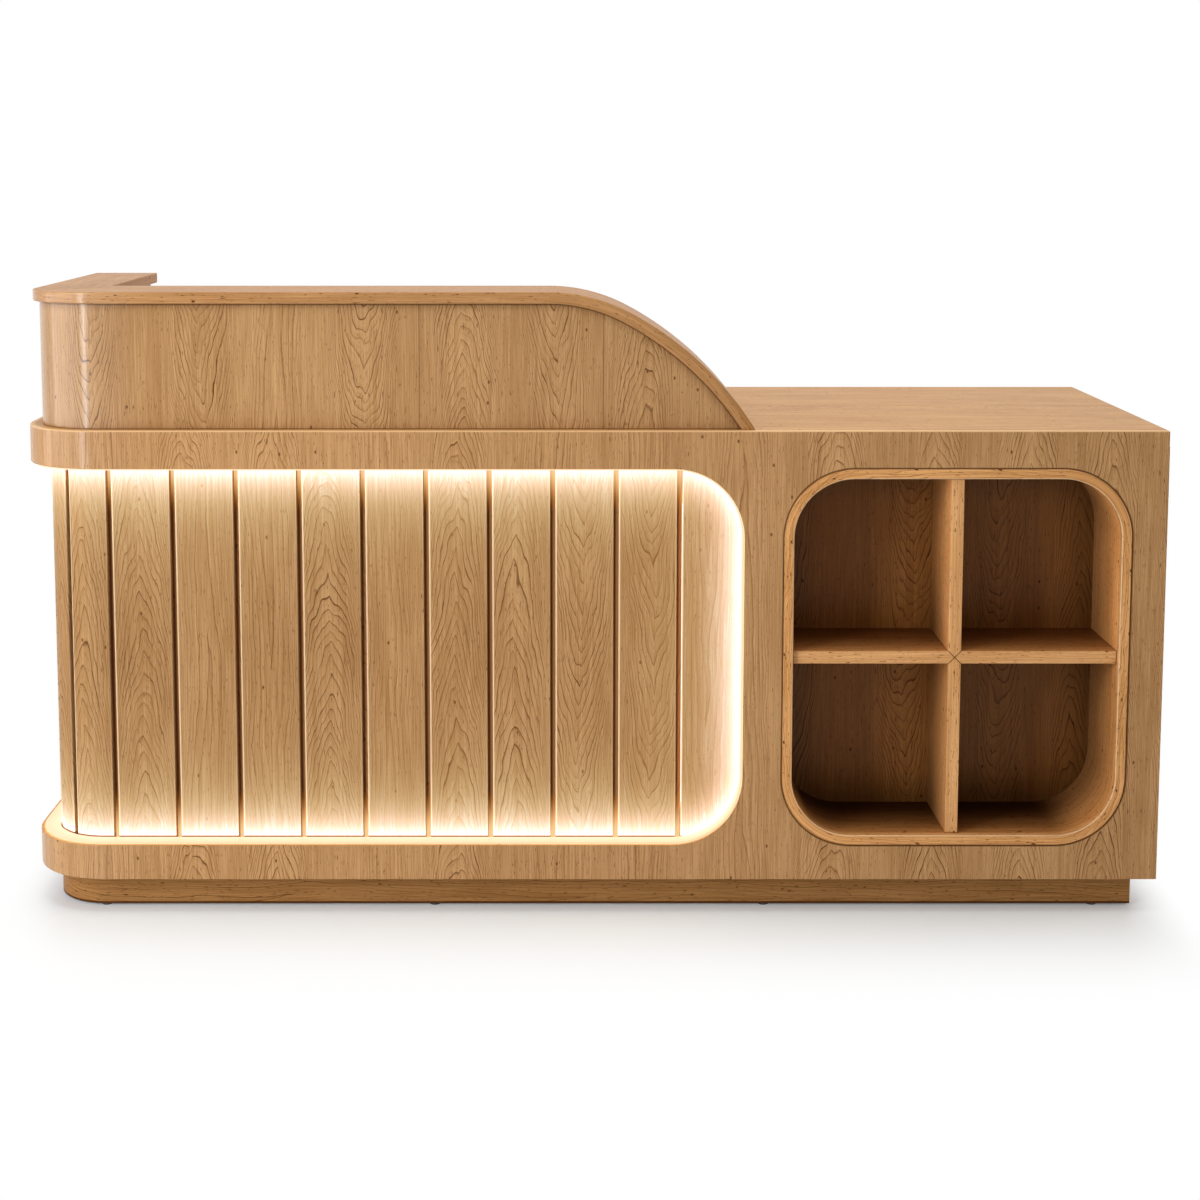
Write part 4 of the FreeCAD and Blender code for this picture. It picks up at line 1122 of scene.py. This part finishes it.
def add_door_catch():
    """A magnet catch under the rail where the doors meet, and a strike plate on each door."""
    meeting = (corners("left_door")[1][0] + corners("right_door")[0][0]) / 2
    door_back = corners("left_door")[0][1]
    rail_under = corners("cabinet_rail")[0][2]
    catch_depth, catch_height, pad_rise, strike_rise, gap = 14.0, 11.0, 0.6, 0.8, 0.3
    catch_face = door_back - strike_rise - gap - pad_rise
    level, aside, strike_drop = rail_under - catch_height / 2, 14.0, 1.5
    catch = block_fitting("door_catch", "dark_plastic", length=56.0, width=catch_depth, height=catch_height,
                          easing=1.2, rim=2.5, depth=0.6)
    set_out(catch, [(meeting, catch_face - catch_depth / 2, rail_under)], DOWN)
    pad = block_fitting("catch_pad", "runner_steel", length=16.0, width=5.0, height=pad_rise, easing=0.2)
    set_out(pad, [(meeting + side * aside, catch_face, level) for side in (-1, 1)], REAR)
    strike = round_fitting(
        "strike_plate", "runner_steel", radius=5.0, height=strike_rise, easing=0.25, rim=2.6, depth=0.3)
    for side, body in ((-1, "door_left"), (1, "door_right")):
        place = (meeting + side * aside, door_back, level - strike_drop)
        set_out(strike, [place], FRONT, body)


def add_driver_details():
    """Cooling ribs and cover screws on the light driver, and the lock nut of its gland."""
    low, high, middle = corners("led_driver")
    rib_pitch, screw_inset = 12.0, 9.0
    rib = block_fitting("driver_rib", "driver_case", length=2.4, width=20.0, height=1.6, easing=0.6)
    ribs = [(middle[0] + rib_pitch * step, high[1], middle[2]) for step in range(-4, 5)]
    set_out(rib, ribs, REAR)
    screw = round_fitting(
        "driver_screw", "runner_steel", radius=3.0, height=1.6, easing=0.8, rim=0.9, depth=0.9)
    screws = [(x, high[1], middle[2]) for x in (low[0] + screw_inset, high[0] - screw_inset)]
    set_out(screw, screws, REAR)
    low, high, middle = corners("driver_gland")
    nut_radius = (middle[2] - low[2]) * 1.35
    nut = round_fitting(
        "gland_nut", "dark_plastic", nut_radius, height=5.0, easing=0.8, rim=1.0, depth=0.4, sides=6)
    set_out(nut, [(high[0], middle[1], middle[2])], LEFT)


add_cover_caps()
add_shelf_sleeves()
add_door_catch()
add_driver_details()
for master in masters:
    bpy.data.objects.remove(master)


# Floor, light and camera

bpy.ops.object.select_all(action="DESELECT")
bpy.ops.mesh.primitive_plane_add(size=60, location=(0, 0, 0))
floor = bpy.context.object
floor.name = "floor"

# The floor takes the desk's shadow, and turns to the white of the background away from the desk.
floor_paint, bench, shader = new_material("studio floor", base_color=(0.81, 0.88, 0.96, 1), roughness=0.35)
x, y, _ = bench.on_part()
beside = bench.largest(abs(x) - PLINTH_HIGH[0], 0.0)
before = bench.largest(abs(y) - cad_high[1], 0.0)
sooner_beside = 4.0
distance = bench.length(beside * sooner_beside, before)
white = bench.node("ShaderNodeEmission")
mix = bench.node("ShaderNodeMixShader")
turned_white = bench.seen_directly() * distance.rise(-0.10, 0.35)
bench.fill(mix.inputs, (turned_white, shader.outputs[0], white.outputs[0]))
bench.feed(bench.tree.nodes["Material Output"].inputs["Surface"], mix.outputs[0])
floor.data.materials.append(floor_paint)

world = bpy.data.worlds.new("studio")
scene.world = world
world.use_nodes = True
bench = Bench(world.node_tree)
background = world.node_tree.nodes["Background"]
seen = bench.seen_directly()
bench.feed(background.inputs["Color"], bench.blend(seen, (1.0, 0.92, 0.80, 1), WHITE))
bench.feed(background.inputs["Strength"], bench.choose(seen, 0.38, 1.0))

WHITE_LIGHT, WARM_LIGHT, TOP_LIGHT = (1, 1, 1), (1.0, 0.95, 0.87), (1.0, 0.94, 0.82)


def soft_box(name, place, aim, size, power, colour=WHITE_LIGHT, in_gloss=True):
    """An area lamp of this size in metres and power in watts, turned from its place to its aim."""
    lamp = bpy.data.lights.new(name, "AREA")
    lamp.shape = "RECTANGLE"
    lamp.size, lamp.size_y = size
    lamp.energy = power
    lamp.color = colour
    holder = bpy.data.objects.new(name, lamp)
    scene.collection.objects.link(holder)
    holder.location = place
    holder.rotation_euler = (Vector(aim) - Vector(place)).to_track_quat("-Z", "Y").to_euler()
    holder.visible_glossy = in_gloss


soft_box("left_box", (-3.0, -2.7, 2.3), (-0.3, -0.2, 0.5), (2.0, 2.0), 67)
soft_box("left_strip", (-1.80, -2.46, 1.0), (-0.80, -0.28, 0.8), (0.36, 2.0), 24)
soft_box("side_box", (-3.29, -1.30, 0.60), (-0.80, -0.25, 0.60), (2.9, 0.85), 20)
soft_box("rear_box", (0.8, 3.6, 1.15), (0.0, 0.2, 0.55), (3.0, 1.3), 50, WARM_LIGHT, in_gloss=False)
soft_box("right_box", (4.2, 0.9, 1.2), (0.9, 0.05, 0.55), (1.6, 1.4), 30, WARM_LIGHT, in_gloss=False)
soft_box("top_box", (-0.3, -0.2, 3.4), (-0.1, 0.0, 0.5), (3.0, 2.0), 66, TOP_LIGHT)

CAMERA_TILT = math.radians(6.145)
camera_data = bpy.data.cameras.new("camera")
camera_data.sensor_width = 36
camera_data.lens = 59.5
camera_data.shift_x = 0.0286
camera_data.shift_y = -0.19
camera = bpy.data.objects.new("camera", camera_data)
scene.collection.objects.link(camera)
camera.location = (-0.0398, -3.3529, 1.1958)
camera.rotation_euler = (math.pi / 2 - CAMERA_TILT, 0, 0)
scene.camera = camera
scene.view_settings.view_transform = "Standard"
